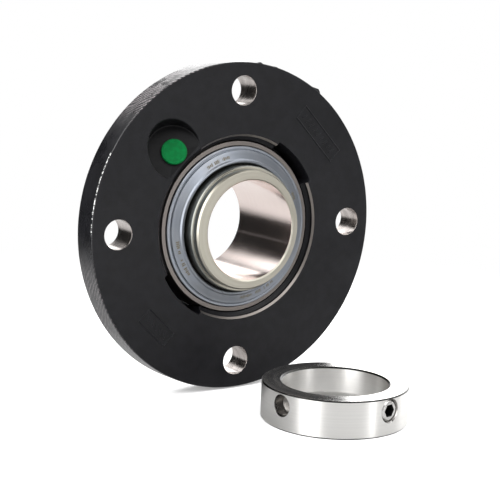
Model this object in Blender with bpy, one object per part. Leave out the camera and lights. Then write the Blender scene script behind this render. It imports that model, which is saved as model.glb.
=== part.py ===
"""Round four-bolt flange mount bearing with a spherical insert bearing and a loose eccentric collar.

Frame: metres, +Z up. The shaft axis is the Y axis, the flange's front face looks towards -Y, and the
origin is the centre of the bearing, which lies in the plane of the flange's mounting face.
"""
import math

import bmesh
import bpy
from mathutils import Matrix, Vector

MM = 0.001
GAP = 0.3 * MM                      # clearance left between pieces that touch
OVERCUT = 1 * MM                    # how far a cutter reaches past the face it opens
LONG_OVERCUT = 5 * MM

# Flange housing
FLANGE_RADIUS = 82.5 * MM           # at the front edge
FLANGE_DRAFT = 0.6 * MM             # how much wider the rim is at the mounting face
FLANGE_THICKNESS = 14.2 * MM
FLANGE_EDGE = 1.4 * MM              # rounding of the front edge
REAR_BEVEL = (0.6 * MM, 0.8 * MM)   # of the rear edge: across its face and along the rim
SPIGOT_RADIUS = 52.0 * MM
SPIGOT_LENGTH = 12.8 * MM
SPIGOT_CHAMFER = 1.2 * MM
BOLT_CIRCLE_RADIUS = 68.5 * MM
BOLT_HOLE_RADIUS = 7.25 * MM
BOLT_HOLES = 4
MOUTH_RADIUS = 45.9 * MM            # cylinder between the front face and the spherical seat
MOUTH_CHAMFER = 1.0 * MM
MOUTH_DEPTH = 2.3 * MM
MOUTH_STEP = 0.4 * MM               # bevel between the mouth and the seat
SEAT_HALF_WIDTH = 10.6 * MM
SLOT_RADIUS = 48.3 * MM             # loading slots, through which the bearing is put in on edge
SLOT_HALF_ANGLE = math.radians(17.5)
SLOT_ANGLES = (math.radians(45), math.radians(225))

# Relubrication hole: a spot face and a duct, leaning outwards from the shaft axis
GREASE_ANGLE = math.radians(134.5)
GREASE_TILT = math.radians(30)
GREASE_FACE_RADIUS = 55.4 * MM      # where the duct's axis crosses the front face
POCKET_RADIUS = 13.8 * MM
POCKET_DEPTH = 3.9 * MM             # along the duct's axis
POCKET_REACH = 40 * MM              # length of its cutter
SOCKET_RADIUS = 4.2 * MM
SOCKET_DEPTH = 7.0 * MM
DUCT_RADIUS = 1.8 * MM
DUCT_LENGTH = 17.0 * MM
PLUG_HEAD_RADIUS = 6.3 * MM
PLUG_HEAD_HEIGHT = 1.6 * MM
PLUG_STEM_LENGTH = 6.0 * MM
PLUG_EDGE = 0.4 * MM
PLUG_LEAD_IN = (0.6 * MM, 0.8 * MM) # taper of the stem's end: across and along
PLUG_SIDES = 32

# Blank raised frames on the front face
PLAQUE_RADIUS = 66.2 * MM
PLAQUE_HEIGHT = 0.4 * MM
PLAQUE_BORDER = 0.9 * MM
PLAQUES = ((math.radians(45), 33.0 * MM, 9.0 * MM), (math.radians(225), 20.0 * MM, 9.0 * MM))

# Insert bearing
OUTER_RING_RADIUS = 45.0 * MM       # radius of the ball-shaped outside
OUTER_RING_HALF_WIDTH = 11.0 * MM
OUTER_RING_CHAMFER = 0.6 * MM
SEAT_RADIUS = OUTER_RING_RADIUS + GAP
BALL_RADIUS = 6.35 * MM
PITCH_RADIUS = 35.0 * MM
BALLS = 10
RACE_RADIUS = BALL_RADIUS + GAP
OUTER_LAND_RADIUS = 39.0 * MM
SEAL_RECESS_RADIUS = 41.15 * MM
SEAL_SHOULDER = 8.6 * MM            # distance of the seal shoulder from the centre plane
LUBE_HOLE_RADIUS = 1.25 * MM
LUBE_HOLE_Y = 7.0 * MM

BORE_RADIUS = 25.0 * MM
BORE_CHAMFER = 0.6 * MM
INNER_RING_HALF_LENGTH = 24.6 * MM
INNER_LAND_RADIUS = 31.6 * MM
CAM_RADIUS = 30.0 * MM
CAM_LENGTH = 5.0 * MM
CAM_OFFSET = 1.15 * MM              # how far the cam's centre stands off the shaft axis
CAM_ANGLE = math.radians(170)
CAM_EDGE = 0.5 * MM
LAND_EDGE = 0.4 * MM                # bevel between the cam's root and the land
REAR_EDGE = 1.0 * MM

CAGE_INNER_RADIUS = 33.5 * MM
CAGE_OUTER_RADIUS = 36.5 * MM
CAGE_HALF_WIDTH = 7.9 * MM

# Locking collar, lying flat on the plane that the flange's rim stands on
COLLAR_RADIUS = 35.0 * MM
COLLAR_WIDTH = 17.8 * MM
COLLAR_CHAMFER = 0.6 * MM
COLLAR_BORE_RADIUS = 25.4 * MM
COLLAR_BORE_CHAMFER = 0.8 * MM
RECESS_DEPTH = 5.0 * MM
RECESS_EDGE = 0.4 * MM
COLLAR_CENTRE = (14.7 * MM, -78.2 * MM)
SCREW_ANGLE = math.radians(-82)
PIN_HOLE_ANGLE = math.radians(-172)
SCREW_HEIGHT = 11.6 * MM            # of the screw's axis above the collar's lower face
SCREW_RADIUS = 4.85 * MM
SCREW_LENGTH = 8.4 * MM
SCREW_SINK = 0.6 * MM               # how far the screw's end lies inside the collar's rim
SCREW_SOCKET_RADIUS = 2.9 * MM      # to the corners of the hexagon
SCREW_SOCKET_DEPTH = 4.0 * MM
SCREW_EDGE = 0.7 * MM
CUP_RIM = (2.2 * MM, 1.4 * MM)      # inner and outer edge of the point's rim, from the outside
CUP_DEPTH = 0.8 * MM
PIN_HOLE_RADIUS = 4.75 * MM
PIN_HOLE_DEPTH = 6.5 * MM

FLOOR_Z = -(FLANGE_RADIUS + FLANGE_DRAFT)
FRONT_Y = -FLANGE_THICKNESS

FLANGE_SIDES = 64
RING_SIDES = 48
SEAL_SIDES = 40
COLLAR_SIDES = 56
HOLE_SIDES = 24
POCKET_SIDES = 18
DUCT_SIDES = 12

SHAFT_AXIS = Vector((0.0, 1.0, 0.0))
SHARP_ANGLE = math.radians(30)
NEAR = 0.1 * MM                     # tolerance when picking the points of an edge


def clear_scene():
    """Remove every object, mesh and material that the file opened with."""
    for item in list(bpy.data.objects):
        bpy.data.objects.remove(item, do_unlink=True)
    for store in (bpy.data.meshes, bpy.data.materials):
        for item in list(store):
            store.remove(item)


def finish_material(name, colour, roughness, metallic):
    """A Principled material with one colour."""
    material = bpy.data.materials.new(name)
    material.use_nodes = True
    shader = material.node_tree.nodes["Principled BSDF"]
    shader.inputs["Base Color"].default_value = (*colour, 1.0)
    shader.inputs["Roughness"].default_value = roughness
    shader.inputs["Metallic"].default_value = metallic
    return material


def mesh_from(shape, name):
    """Turn a bmesh into a smooth mesh with its faces pointing outwards."""
    bmesh.ops.remove_doubles(shape, verts=shape.verts, dist=1e-7)
    bmesh.ops.recalc_face_normals(shape, faces=shape.faces)
    mesh = bpy.data.meshes.new(name)
    shape.to_mesh(mesh)
    shape.free()
    mesh.shade_smooth()
    mesh.set_sharp_from_angle(angle=SHARP_ANGLE)
    return mesh


def add_object(name, mesh, material=None, parent=None):
    """Put a mesh in the scene as a named object."""
    item = bpy.data.objects.new(name, mesh)
    bpy.context.scene.collection.objects.link(item)
    item.parent = parent
    if material:
        mesh.materials.clear()
        mesh.materials.append(material)
    return item


def add_empty(name, location=(0.0, 0.0, 0.0), parent=None):
    """An empty that stands on a joint's axis and carries a moving piece."""
    item = bpy.data.objects.new(name, None)
    item.location = location
    item.parent = parent
    bpy.context.scene.collection.objects.link(item)
    return item


def arc(centre, radius, start, end, steps):
    """Points (radius, y) on an arc whose angles are measured from the radial direction."""
    points = []
    for step in range(steps + 1):
        angle = start + (end - start) * step / steps
        points.append((centre[0] + radius * math.cos(angle), centre[1] + radius * math.sin(angle)))
    return points


def spin_outline(outline, sides, axis=SHAFT_AXIS, along=SHAFT_AXIS):
    """Spin a closed outline of (radius, distance along the axis) into a solid of revolution."""
    shape = bmesh.new()
    corners = [shape.verts.new(Vector((radius, 0.0, 0.0)) + along * place) for radius, place in outline]
    edges = [shape.edges.new((corners[i - 1], corners[i])) for i in range(len(corners))]
    bmesh.ops.spin(shape, geom=corners + edges, cent=(0, 0, 0), axis=axis, angle=2 * math.pi,
                   steps=sides, use_merge=True)
    return shape


def spin_solid(outline, sides):
    """Spin an outline of (radius, height) that starts and ends on the Z axis into a solid."""
    shape = bmesh.new()
    corners = [shape.verts.new((radius, 0.0, height)) for radius, height in outline]
    edges = [shape.edges.new(pair) for pair in zip(corners, corners[1:])]
    bmesh.ops.spin(shape, geom=corners + edges, cent=(0, 0, 0), axis=(0, 0, 1), angle=2 * math.pi,
                   steps=sides, use_merge=True)
    return shape


def turned(name, outline, material, sides=RING_SIDES, parent=None):
    """A turned piece about the shaft axis."""
    return add_object(name, mesh_from(spin_outline(outline, sides), name), material, parent)


def cylinder_mesh(name, radius, low, high, sides=HOLE_SIDES):
    """A closed cylinder about Z from low to high."""
    shape = bmesh.new()
    bmesh.ops.create_cone(shape, cap_ends=True, segments=sides, radius1=radius, radius2=radius,
                          depth=high - low)
    bmesh.ops.translate(shape, verts=shape.verts, vec=(0, 0, (low + high) / 2))
    return mesh_from(shape, name)


def cut(target, name, mesh, matrix=Matrix.Identity(4), operation="DIFFERENCE"):
    """Cut a guide shape out of a piece, or join it on, with a Boolean modifier."""
    guide = add_object(name, mesh, parent=target)
    guide.matrix_local = matrix
    guide.hide_render = True
    guide.display_type = "WIRE"
    boolean = target.modifiers.new(name, "BOOLEAN")
    boolean.operation = operation
    boolean.solver = "EXACT"
    boolean.object = guide
    return guide


def radial(angle):
    """Unit vector away from the shaft axis at an angle from +X towards +Z."""
    return Vector((math.cos(angle), 0.0, math.sin(angle)))


def grease_matrix():
    """Frame of the relubrication hole: origin on the pocket's floor, +Z out of the hole."""
    outwards = radial(GREASE_ANGLE)
    way_out = outwards * math.sin(GREASE_TILT) - SHAFT_AXIS * math.cos(GREASE_TILT)
    mouth = outwards * GREASE_FACE_RADIUS + SHAFT_AXIS * FRONT_Y
    floor_centre = mouth - way_out * POCKET_DEPTH
    return Matrix.Translation(floor_centre) @ way_out.to_track_quat("Z", "Y").to_matrix().to_4x4()


def raise_faces(shape, faces, move):
    """Extrude flat faces into a closed solid."""
    grown = bmesh.ops.extrude_face_region(shape, geom=faces)["geom"]
    moved = [part for part in grown if isinstance(part, bmesh.types.BMVert)]
    bmesh.ops.translate(shape, verts=moved, vec=move)


def slot_mesh(name, angle):
    """A loading slot: a sector of the mouth, as deep as the centre plane of the seat."""
    inner = [(math.cos(turn) * OUTER_LAND_RADIUS, math.sin(turn) * OUTER_LAND_RADIUS)
             for turn in (angle - SLOT_HALF_ANGLE, angle + SLOT_HALF_ANGLE)]
    outer = arc((0.0, 0.0), SLOT_RADIUS, angle + SLOT_HALF_ANGLE, angle - SLOT_HALF_ANGLE, 8)
    shape = bmesh.new()
    corners = [shape.verts.new((x, FRONT_Y - OVERCUT, z)) for x, z in inner + outer]
    raise_faces(shape, [shape.faces.new(corners)], (0, OVERCUT - FRONT_Y, 0))
    return mesh_from(shape, name)


def plaque_mesh(name, length, width):
    """A low rectangular frame, sunk half its height into the face it stands on."""
    shape = bmesh.new()
    bmesh.ops.create_grid(shape, x_segments=1, y_segments=1, size=0.5,
                          matrix=Matrix.Diagonal((length, width, 1.0, 1.0)))
    middle = shape.faces[:]
    bmesh.ops.inset_region(shape, faces=middle, thickness=PLAQUE_BORDER, use_boundary=True)
    bmesh.ops.delete(shape, geom=middle, context="FACES")
    raise_faces(shape, shape.faces[:], (0, 0, 2 * PLAQUE_HEIGHT))
    bmesh.ops.translate(shape, verts=shape.verts, vec=(0, 0, -PLAQUE_HEIGHT))
    return mesh_from(shape, name)


def build_housing(material):
    """The cast flange with its spigot, spherical seat, bolt holes, slots, pocket and plaques."""
    seat_edge = math.sqrt(SEAT_RADIUS ** 2 - SEAT_HALF_WIDTH ** 2)
    seat_turn = math.asin(SEAT_HALF_WIDTH / SEAT_RADIUS)
    rear_radius = FLANGE_RADIUS + FLANGE_DRAFT
    outline = [(MOUTH_RADIUS + MOUTH_CHAMFER, FRONT_Y)]
    outline += arc((FLANGE_RADIUS - FLANGE_EDGE, FRONT_Y + FLANGE_EDGE), FLANGE_EDGE, -math.pi / 2, 0, 3)
    outline += [
        (rear_radius, -REAR_BEVEL[1]),
        (rear_radius - REAR_BEVEL[0], 0.0),
        (SPIGOT_RADIUS, 0.0),
        (SPIGOT_RADIUS, SPIGOT_LENGTH - SPIGOT_CHAMFER),
        (SPIGOT_RADIUS - SPIGOT_CHAMFER, SPIGOT_LENGTH),
        (MOUTH_RADIUS, SPIGOT_LENGTH),
        (seat_edge, SEAT_HALF_WIDTH),
    ]
    outline += arc((0.0, 0.0), SEAT_RADIUS, seat_turn, -seat_turn, 6)[1:]
    outline += [
        (MOUTH_RADIUS - MOUTH_STEP, FRONT_Y + MOUTH_DEPTH + MOUTH_STEP),
        (MOUTH_RADIUS, FRONT_Y + MOUTH_DEPTH),
        (MOUTH_RADIUS, FRONT_Y + MOUTH_CHAMFER),
    ]
    housing = turned("flange_housing", outline, material, FLANGE_SIDES)

    for number in range(BOLT_HOLES):
        place = radial(2 * math.pi * number / BOLT_HOLES) * BOLT_CIRCLE_RADIUS
        turn = Matrix.Rotation(math.pi / 2, 4, "X") @ Matrix.Rotation(math.pi / HOLE_SIDES, 4, "Z")
        hole = cylinder_mesh("bolt_hole_cut", BOLT_HOLE_RADIUS, -LONG_OVERCUT,
                             FLANGE_THICKNESS + LONG_OVERCUT)
        cut(housing, f"bolt_hole_{number + 1}", hole, Matrix.Translation(place) @ turn)
    for number, angle in enumerate(SLOT_ANGLES):
        cut(housing, f"loading_slot_{number + 1}", slot_mesh("loading_slot_cut", angle))

    grease = grease_matrix()
    pocket = cylinder_mesh("pocket_cut", POCKET_RADIUS, 0.0, POCKET_REACH, RING_SIDES)
    socket = cylinder_mesh("plug_socket_cut", SOCKET_RADIUS, -SOCKET_DEPTH, OVERCUT)
    duct = cylinder_mesh("duct_cut", DUCT_RADIUS, -DUCT_LENGTH, OVERCUT - SOCKET_DEPTH, DUCT_SIDES)
    for name, guide in (("pocket", pocket), ("plug_socket", socket), ("duct", duct)):
        cut(housing, name, guide, grease)

    for number, (angle, length, width) in enumerate(PLAQUES):
        outwards = radial(angle)
        across = Vector((0.0, -1.0, 0.0)).cross(outwards)
        turn = Matrix((across, outwards, across.cross(outwards))).transposed().to_4x4()
        place = Matrix.Translation(outwards * PLAQUE_RADIUS + SHAFT_AXIS * FRONT_Y) @ turn
        cut(housing, f"plaque_{number + 1}", plaque_mesh("plaque_rim", length, width), place, "UNION")
    return housing


def build_grease_plug(material, housing):
    """The plastic plug that closes the relubrication hole; its own Z axis is the way it pulls out."""
    stem = SOCKET_RADIUS - GAP
    low = GAP - PLUG_STEM_LENGTH
    top = GAP + PLUG_HEAD_HEIGHT
    taper, lead = PLUG_LEAD_IN
    outline = [(0.0, low), (stem - taper, low), (stem, low + lead), (stem, GAP),
               (PLUG_HEAD_RADIUS, GAP), (PLUG_HEAD_RADIUS, top - PLUG_EDGE),
               (PLUG_HEAD_RADIUS - PLUG_EDGE, top), (0.0, top)]
    shape = spin_solid(outline, PLUG_SIDES)
    plug = add_object("grease_plug", mesh_from(shape, "grease_plug"), material, housing)
    plug.matrix_local = grease_matrix()
    return plug


def build_outer_ring(material, parent):
    """The outer ring: ball-shaped outside, ball race and a recess for the seal at each end."""
    width = OUTER_RING_HALF_WIDTH
    edge_y = width - OUTER_RING_CHAMFER
    edge_turn = math.asin(edge_y / OUTER_RING_RADIUS)
    face_radius = OUTER_RING_RADIUS * math.cos(edge_turn) - OUTER_RING_CHAMFER
    race_turn = math.acos((OUTER_LAND_RADIUS - PITCH_RADIUS) / RACE_RADIUS)
    outline = arc((0.0, 0.0), OUTER_RING_RADIUS, -edge_turn, edge_turn, 6)
    outline += [(face_radius, width), (SEAL_RECESS_RADIUS, width), (SEAL_RECESS_RADIUS, SEAL_SHOULDER),
                (OUTER_LAND_RADIUS, SEAL_SHOULDER)]
    outline += arc((PITCH_RADIUS, 0.0), RACE_RADIUS, race_turn, -race_turn, 7)
    outline += [(OUTER_LAND_RADIUS, -SEAL_SHOULDER), (SEAL_RECESS_RADIUS, -SEAL_SHOULDER),
                (SEAL_RECESS_RADIUS, -width), (face_radius, -width)]
    ring = turned("outer_ring", outline, material, parent=parent)
    drill = cylinder_mesh("lube_hole_cut", LUBE_HOLE_RADIUS, OUTER_LAND_RADIUS - 3 * OVERCUT,
                          OUTER_RING_RADIUS + 3 * OVERCUT, DUCT_SIDES)
    tilt = radial(GREASE_ANGLE).to_track_quat("Z", "Y").to_matrix().to_4x4()
    cut(ring, "lube_hole", drill, Matrix.Translation(SHAFT_AXIS * LUBE_HOLE_Y) @ tilt)
    return ring


def build_seal(end, materials, parent):
    """One end's seal: a dished steel cover, a rubber lip and a steel backing washer.

    The outlines are (radius, distance from the centre plane) in millimetres.
    """
    outlines = {
        "cover": [(40.85, 9.3), (40.85, 11.9), (40.4, 12.3), (39.2, 12.35), (38.9, 13.2),
                  (33.4, 14.5), (32.75, 14.4), (32.75, 13.8), (33.4, 13.75), (38.3, 12.55),
                  (38.5, 11.6), (40.15, 11.45), (40.15, 9.3)],
        "lip": [(39.8, 10.1), (39.8, 11.1), (38.0, 11.25), (33.2, 12.9), (31.95, 13.2),
                (31.95, 12.2), (33.4, 11.7), (37.8, 10.2)],
        "backing": [(39.8, 8.9), (39.8, 9.8), (37.8, 9.9), (33.0, 10.9), (33.0, 10.1), (37.6, 9.1)],
    }
    side = -1 if end == "front" else 1
    for part, outline in outlines.items():
        points = [(radius * MM, side * place * MM) for radius, place in outline]
        turned(f"{end}_seal_{part}", points, materials[part], SEAL_SIDES, parent)


def build_inner_ring(material, parent):
    """The wide inner ring: bore, ball race and the eccentric cam on its nose."""
    half = INNER_RING_HALF_LENGTH
    cam_y = -half + CAM_LENGTH
    race_turn = math.acos((PITCH_RADIUS - INNER_LAND_RADIUS) / RACE_RADIUS)
    outline = [(BORE_RADIUS, -half + BORE_CHAMFER), (BORE_RADIUS + BORE_CHAMFER, -half),
               (CAM_RADIUS - CAM_EDGE, -half), (CAM_RADIUS, -half + CAM_EDGE), (CAM_RADIUS, cam_y),
               (INNER_LAND_RADIUS - LAND_EDGE, cam_y), (INNER_LAND_RADIUS, cam_y + LAND_EDGE)]
    outline += arc((PITCH_RADIUS, 0.0), RACE_RADIUS, math.pi + race_turn, math.pi - race_turn, 7)
    outline += [(INNER_LAND_RADIUS, half - REAR_EDGE), (INNER_LAND_RADIUS - REAR_EDGE, half),
                (BORE_RADIUS + BORE_CHAMFER, half), (BORE_RADIUS, half - BORE_CHAMFER)]
    shape = spin_outline(outline, RING_SIDES)
    cam = [vert for vert in shape.verts
           if vert.co.y < cam_y + NEAR
           and CAM_RADIUS - CAM_EDGE - NEAR < math.hypot(vert.co.x, vert.co.z) < CAM_RADIUS + NEAR]
    bmesh.ops.translate(shape, verts=cam, vec=radial(CAM_ANGLE) * CAM_OFFSET)
    return add_object("inner_ring", mesh_from(shape, "inner_ring"), material, parent)


def build_cage(material, parent):
    """The ball cage: a ring with one round pocket for each ball."""
    outline = [(CAGE_INNER_RADIUS, -CAGE_HALF_WIDTH), (CAGE_OUTER_RADIUS, -CAGE_HALF_WIDTH),
               (CAGE_OUTER_RADIUS, CAGE_HALF_WIDTH), (CAGE_INNER_RADIUS, CAGE_HALF_WIDTH)]
    cage = turned("cage", outline, material, parent=parent)
    for number in range(BALLS):
        pocket = cylinder_mesh("ball_pocket_cut", RACE_RADIUS, CAGE_INNER_RADIUS - LONG_OVERCUT,
                               CAGE_OUTER_RADIUS + LONG_OVERCUT, POCKET_SIDES)
        tilt = radial(ball_angle(number)).to_track_quat("Z", "Y").to_matrix().to_4x4()
        cut(cage, f"ball_pocket_{number + 1:02d}", pocket, tilt)
    return cage


def ball_angle(number):
    """Angle of a ball about the shaft axis."""
    return math.pi / 2 + 2 * math.pi * number / BALLS


def build_balls(material, cage):
    """The balls, each with its origin at its own centre."""
    shape = bmesh.new()
    bmesh.ops.create_uvsphere(shape, u_segments=14, v_segments=8, radius=BALL_RADIUS)
    mesh = mesh_from(shape, "ball")
    for number in range(BALLS):
        ball = add_object(f"ball_{number + 1:02d}", mesh, material, cage)
        ball.location = radial(ball_angle(number)) * PITCH_RADIUS


def build_collar(material, carrier):
    """The eccentric locking collar, its recess side down, with a screw hole and a pin hole."""
    recess_radius = CAM_RADIUS + 2 * GAP
    outline = [(COLLAR_BORE_RADIUS, COLLAR_WIDTH - COLLAR_BORE_CHAMFER),
               (COLLAR_BORE_RADIUS + COLLAR_BORE_CHAMFER, COLLAR_WIDTH),
               (COLLAR_RADIUS - COLLAR_CHAMFER, COLLAR_WIDTH), (COLLAR_RADIUS, COLLAR_WIDTH - COLLAR_CHAMFER),
               (COLLAR_RADIUS, COLLAR_CHAMFER), (COLLAR_RADIUS - COLLAR_CHAMFER, 0.0),
               (recess_radius + RECESS_EDGE, 0.0), (recess_radius, RECESS_EDGE),
               (recess_radius, RECESS_DEPTH),
               (COLLAR_BORE_RADIUS, RECESS_DEPTH)]
    up = Vector((0.0, 0.0, 1.0))
    shape = spin_outline(outline, COLLAR_SIDES, up, up)
    recess = [vert for vert in shape.verts
              if recess_radius - NEAR < math.hypot(vert.co.x, vert.co.y) < recess_radius + RECESS_EDGE + NEAR]
    bmesh.ops.translate(shape, verts=recess, vec=(CAM_OFFSET, 0.0, 0.0))
    collar = add_object("locking_collar", mesh_from(shape, "locking_collar"), material, carrier)

    over = COLLAR_RADIUS + 3 * OVERCUT
    for name, angle, radius, low in (
            ("screw_hole", SCREW_ANGLE, SCREW_RADIUS + GAP, COLLAR_BORE_RADIUS - 3 * OVERCUT),
            ("pin_hole", PIN_HOLE_ANGLE, PIN_HOLE_RADIUS, COLLAR_RADIUS - PIN_HOLE_DEPTH)):
        cut(collar, name, cylinder_mesh(f"{name}_cut", radius, low, over), screw_frame(angle))
    return collar


def screw_frame(angle):
    """Frame at the collar's axis with +Z pointing out through its rim at an angle."""
    outwards = Vector((math.cos(angle), math.sin(angle), 0.0))
    turn = outwards.to_track_quat("Z", "Y").to_matrix().to_4x4()
    return Matrix.Translation((0.0, 0.0, SCREW_HEIGHT)) @ turn


def build_set_screw(material, collar):
    """The set screw, with a hexagon socket in its outer end and a cup point at its inner end."""
    head = COLLAR_RADIUS - SCREW_SINK
    tip = head - SCREW_LENGTH
    inner_rim, outer_rim = CUP_RIM
    outline = [(0.0, tip + CUP_DEPTH), (SCREW_RADIUS - inner_rim, tip), (SCREW_RADIUS - outer_rim, tip),
               (SCREW_RADIUS, tip + outer_rim), (SCREW_RADIUS, head - SCREW_EDGE),
               (SCREW_RADIUS - SCREW_EDGE, head), (0.0, head)]
    shape = spin_solid(outline, HOLE_SIDES)
    bmesh.ops.translate(shape, verts=shape.verts, vec=(0, 0, -head))
    screw = add_object("set_screw", mesh_from(shape, "set_screw"), material, collar)
    screw.matrix_local = screw_frame(SCREW_ANGLE) @ Matrix.Translation((0, 0, head))
    socket = cylinder_mesh("socket_cut", SCREW_SOCKET_RADIUS, -SCREW_SOCKET_DEPTH, OVERCUT, 6)
    cut(screw, "hex_socket", socket)
    return screw


def main():
    """Build every piece of the unit."""
    clear_scene()
    iron = finish_material("black_paint", (0.028, 0.028, 0.032), 0.5, 0.0)
    ring_steel = finish_material("ground_steel", (0.55, 0.52, 0.50), 0.28, 1.0)
    ball_steel = finish_material("polished_steel", (0.72, 0.72, 0.72), 0.08, 1.0)
    zinc = finish_material("zinc_plate", (0.48, 0.52, 0.58), 0.35, 1.0)
    rubber = finish_material("black_rubber", (0.015, 0.015, 0.015), 0.7, 0.0)
    nylon = finish_material("cage_nylon", (0.62, 0.56, 0.42), 0.5, 0.0)
    turned_steel = finish_material("turned_steel", (0.70, 0.69, 0.67), 0.3, 1.0)
    green = finish_material("green_plastic", (0.005, 0.14, 0.035), 0.45, 0.0)

    housing = build_housing(iron)
    build_grease_plug(green, housing)

    tilt_axis = add_empty("self_align_axis", parent=housing)
    build_outer_ring(ring_steel, tilt_axis)
    seal_materials = {"cover": zinc, "lip": rubber, "backing": zinc}
    for end in ("front", "rear"):
        build_seal(end, seal_materials, tilt_axis)

    shaft_axis = add_empty("shaft_axis", parent=tilt_axis)
    build_inner_ring(ring_steel, shaft_axis)
    cage = build_cage(nylon, add_empty("cage_axis", parent=tilt_axis))
    build_balls(ball_steel, cage)

    collar_axis = add_empty("collar_axis", (*COLLAR_CENTRE, FLOOR_Z))
    collar = build_collar(turned_steel, collar_axis)
    build_set_screw(ball_steel, collar)


main()
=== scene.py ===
"""Looks of a round four-bolt flange bearing unit with its loose eccentric locking collar.

The shaft axis is the Y axis and the flange's front face looks towards -Y. Sizes are in metres. Every
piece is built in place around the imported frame, so its object stays at the origin.
"""
import logging
import math
from dataclasses import dataclass
from enum import Enum
from typing import Callable, Iterable, Sequence, Union

import bmesh
import bpy
from bpy.types import Material, Mesh, Node, NodeSocket, NodeTree, Object
from mathutils import Matrix, Vector, noise


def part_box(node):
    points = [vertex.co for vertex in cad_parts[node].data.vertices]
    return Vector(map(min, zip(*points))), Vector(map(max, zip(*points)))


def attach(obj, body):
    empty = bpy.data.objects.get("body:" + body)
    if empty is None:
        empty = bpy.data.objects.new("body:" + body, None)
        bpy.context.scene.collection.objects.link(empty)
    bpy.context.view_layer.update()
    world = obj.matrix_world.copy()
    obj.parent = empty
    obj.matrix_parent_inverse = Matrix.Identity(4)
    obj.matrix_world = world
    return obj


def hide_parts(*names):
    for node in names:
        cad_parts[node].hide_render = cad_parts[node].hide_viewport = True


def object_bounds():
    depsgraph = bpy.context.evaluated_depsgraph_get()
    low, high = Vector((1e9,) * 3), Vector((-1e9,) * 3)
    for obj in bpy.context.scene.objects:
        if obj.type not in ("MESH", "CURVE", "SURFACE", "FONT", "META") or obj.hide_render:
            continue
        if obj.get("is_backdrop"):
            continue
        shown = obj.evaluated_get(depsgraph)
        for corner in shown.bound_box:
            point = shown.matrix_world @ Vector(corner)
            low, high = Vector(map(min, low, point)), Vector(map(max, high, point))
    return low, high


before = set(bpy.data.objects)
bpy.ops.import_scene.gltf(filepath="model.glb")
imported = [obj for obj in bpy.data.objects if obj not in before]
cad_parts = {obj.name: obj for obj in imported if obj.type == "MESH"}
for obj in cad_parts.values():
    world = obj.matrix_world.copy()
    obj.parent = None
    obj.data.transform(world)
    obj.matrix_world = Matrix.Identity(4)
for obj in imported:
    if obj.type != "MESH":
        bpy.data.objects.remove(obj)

LOG = logging.getLogger("flange_bearing")
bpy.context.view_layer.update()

MM = 0.001
FULL_TURN = 2 * math.pi
SHARP_ANGLE = math.radians(38)        # edges steeper than this stay sharp
WELD = 1e-6                          # distance within which points are merged
RAIL = 0.02                          # radius of the circle that outlines are swept along
FILLET_STEPS = 4

Colour = tuple[float, float, float]
Place = tuple[float, float]
Corner = tuple[float, float, float]
Socket = Union[NodeSocket, float, int, tuple]
Sockets = bpy.types.bpy_prop_collection

SHAFT_TURN = Matrix.Rotation(-math.pi / 2, 4, "X")     # takes a lathe's +Z to the shaft's +Y


class Fineness(Enum):
    """How many sides a turned piece has."""

    LARGE = 432
    RING = 224
    HOLE = 96
    SMALL = 64


class Slot(Enum):
    """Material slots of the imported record."""

    PAINT = "housing_paint"
    PLUG = "plug_plastic"
    RING = "ring_steel"
    BALL = "ball_steel"
    ZINC = "seal_zinc"
    RUBBER = "seal_rubber"
    CAGE = "cage_nylon"
    COLLAR = "collar_steel"
    SCREW = "screw_steel"


# ---------------------------------------------------------------------------------------------
# Node trees
# ---------------------------------------------------------------------------------------------

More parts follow.
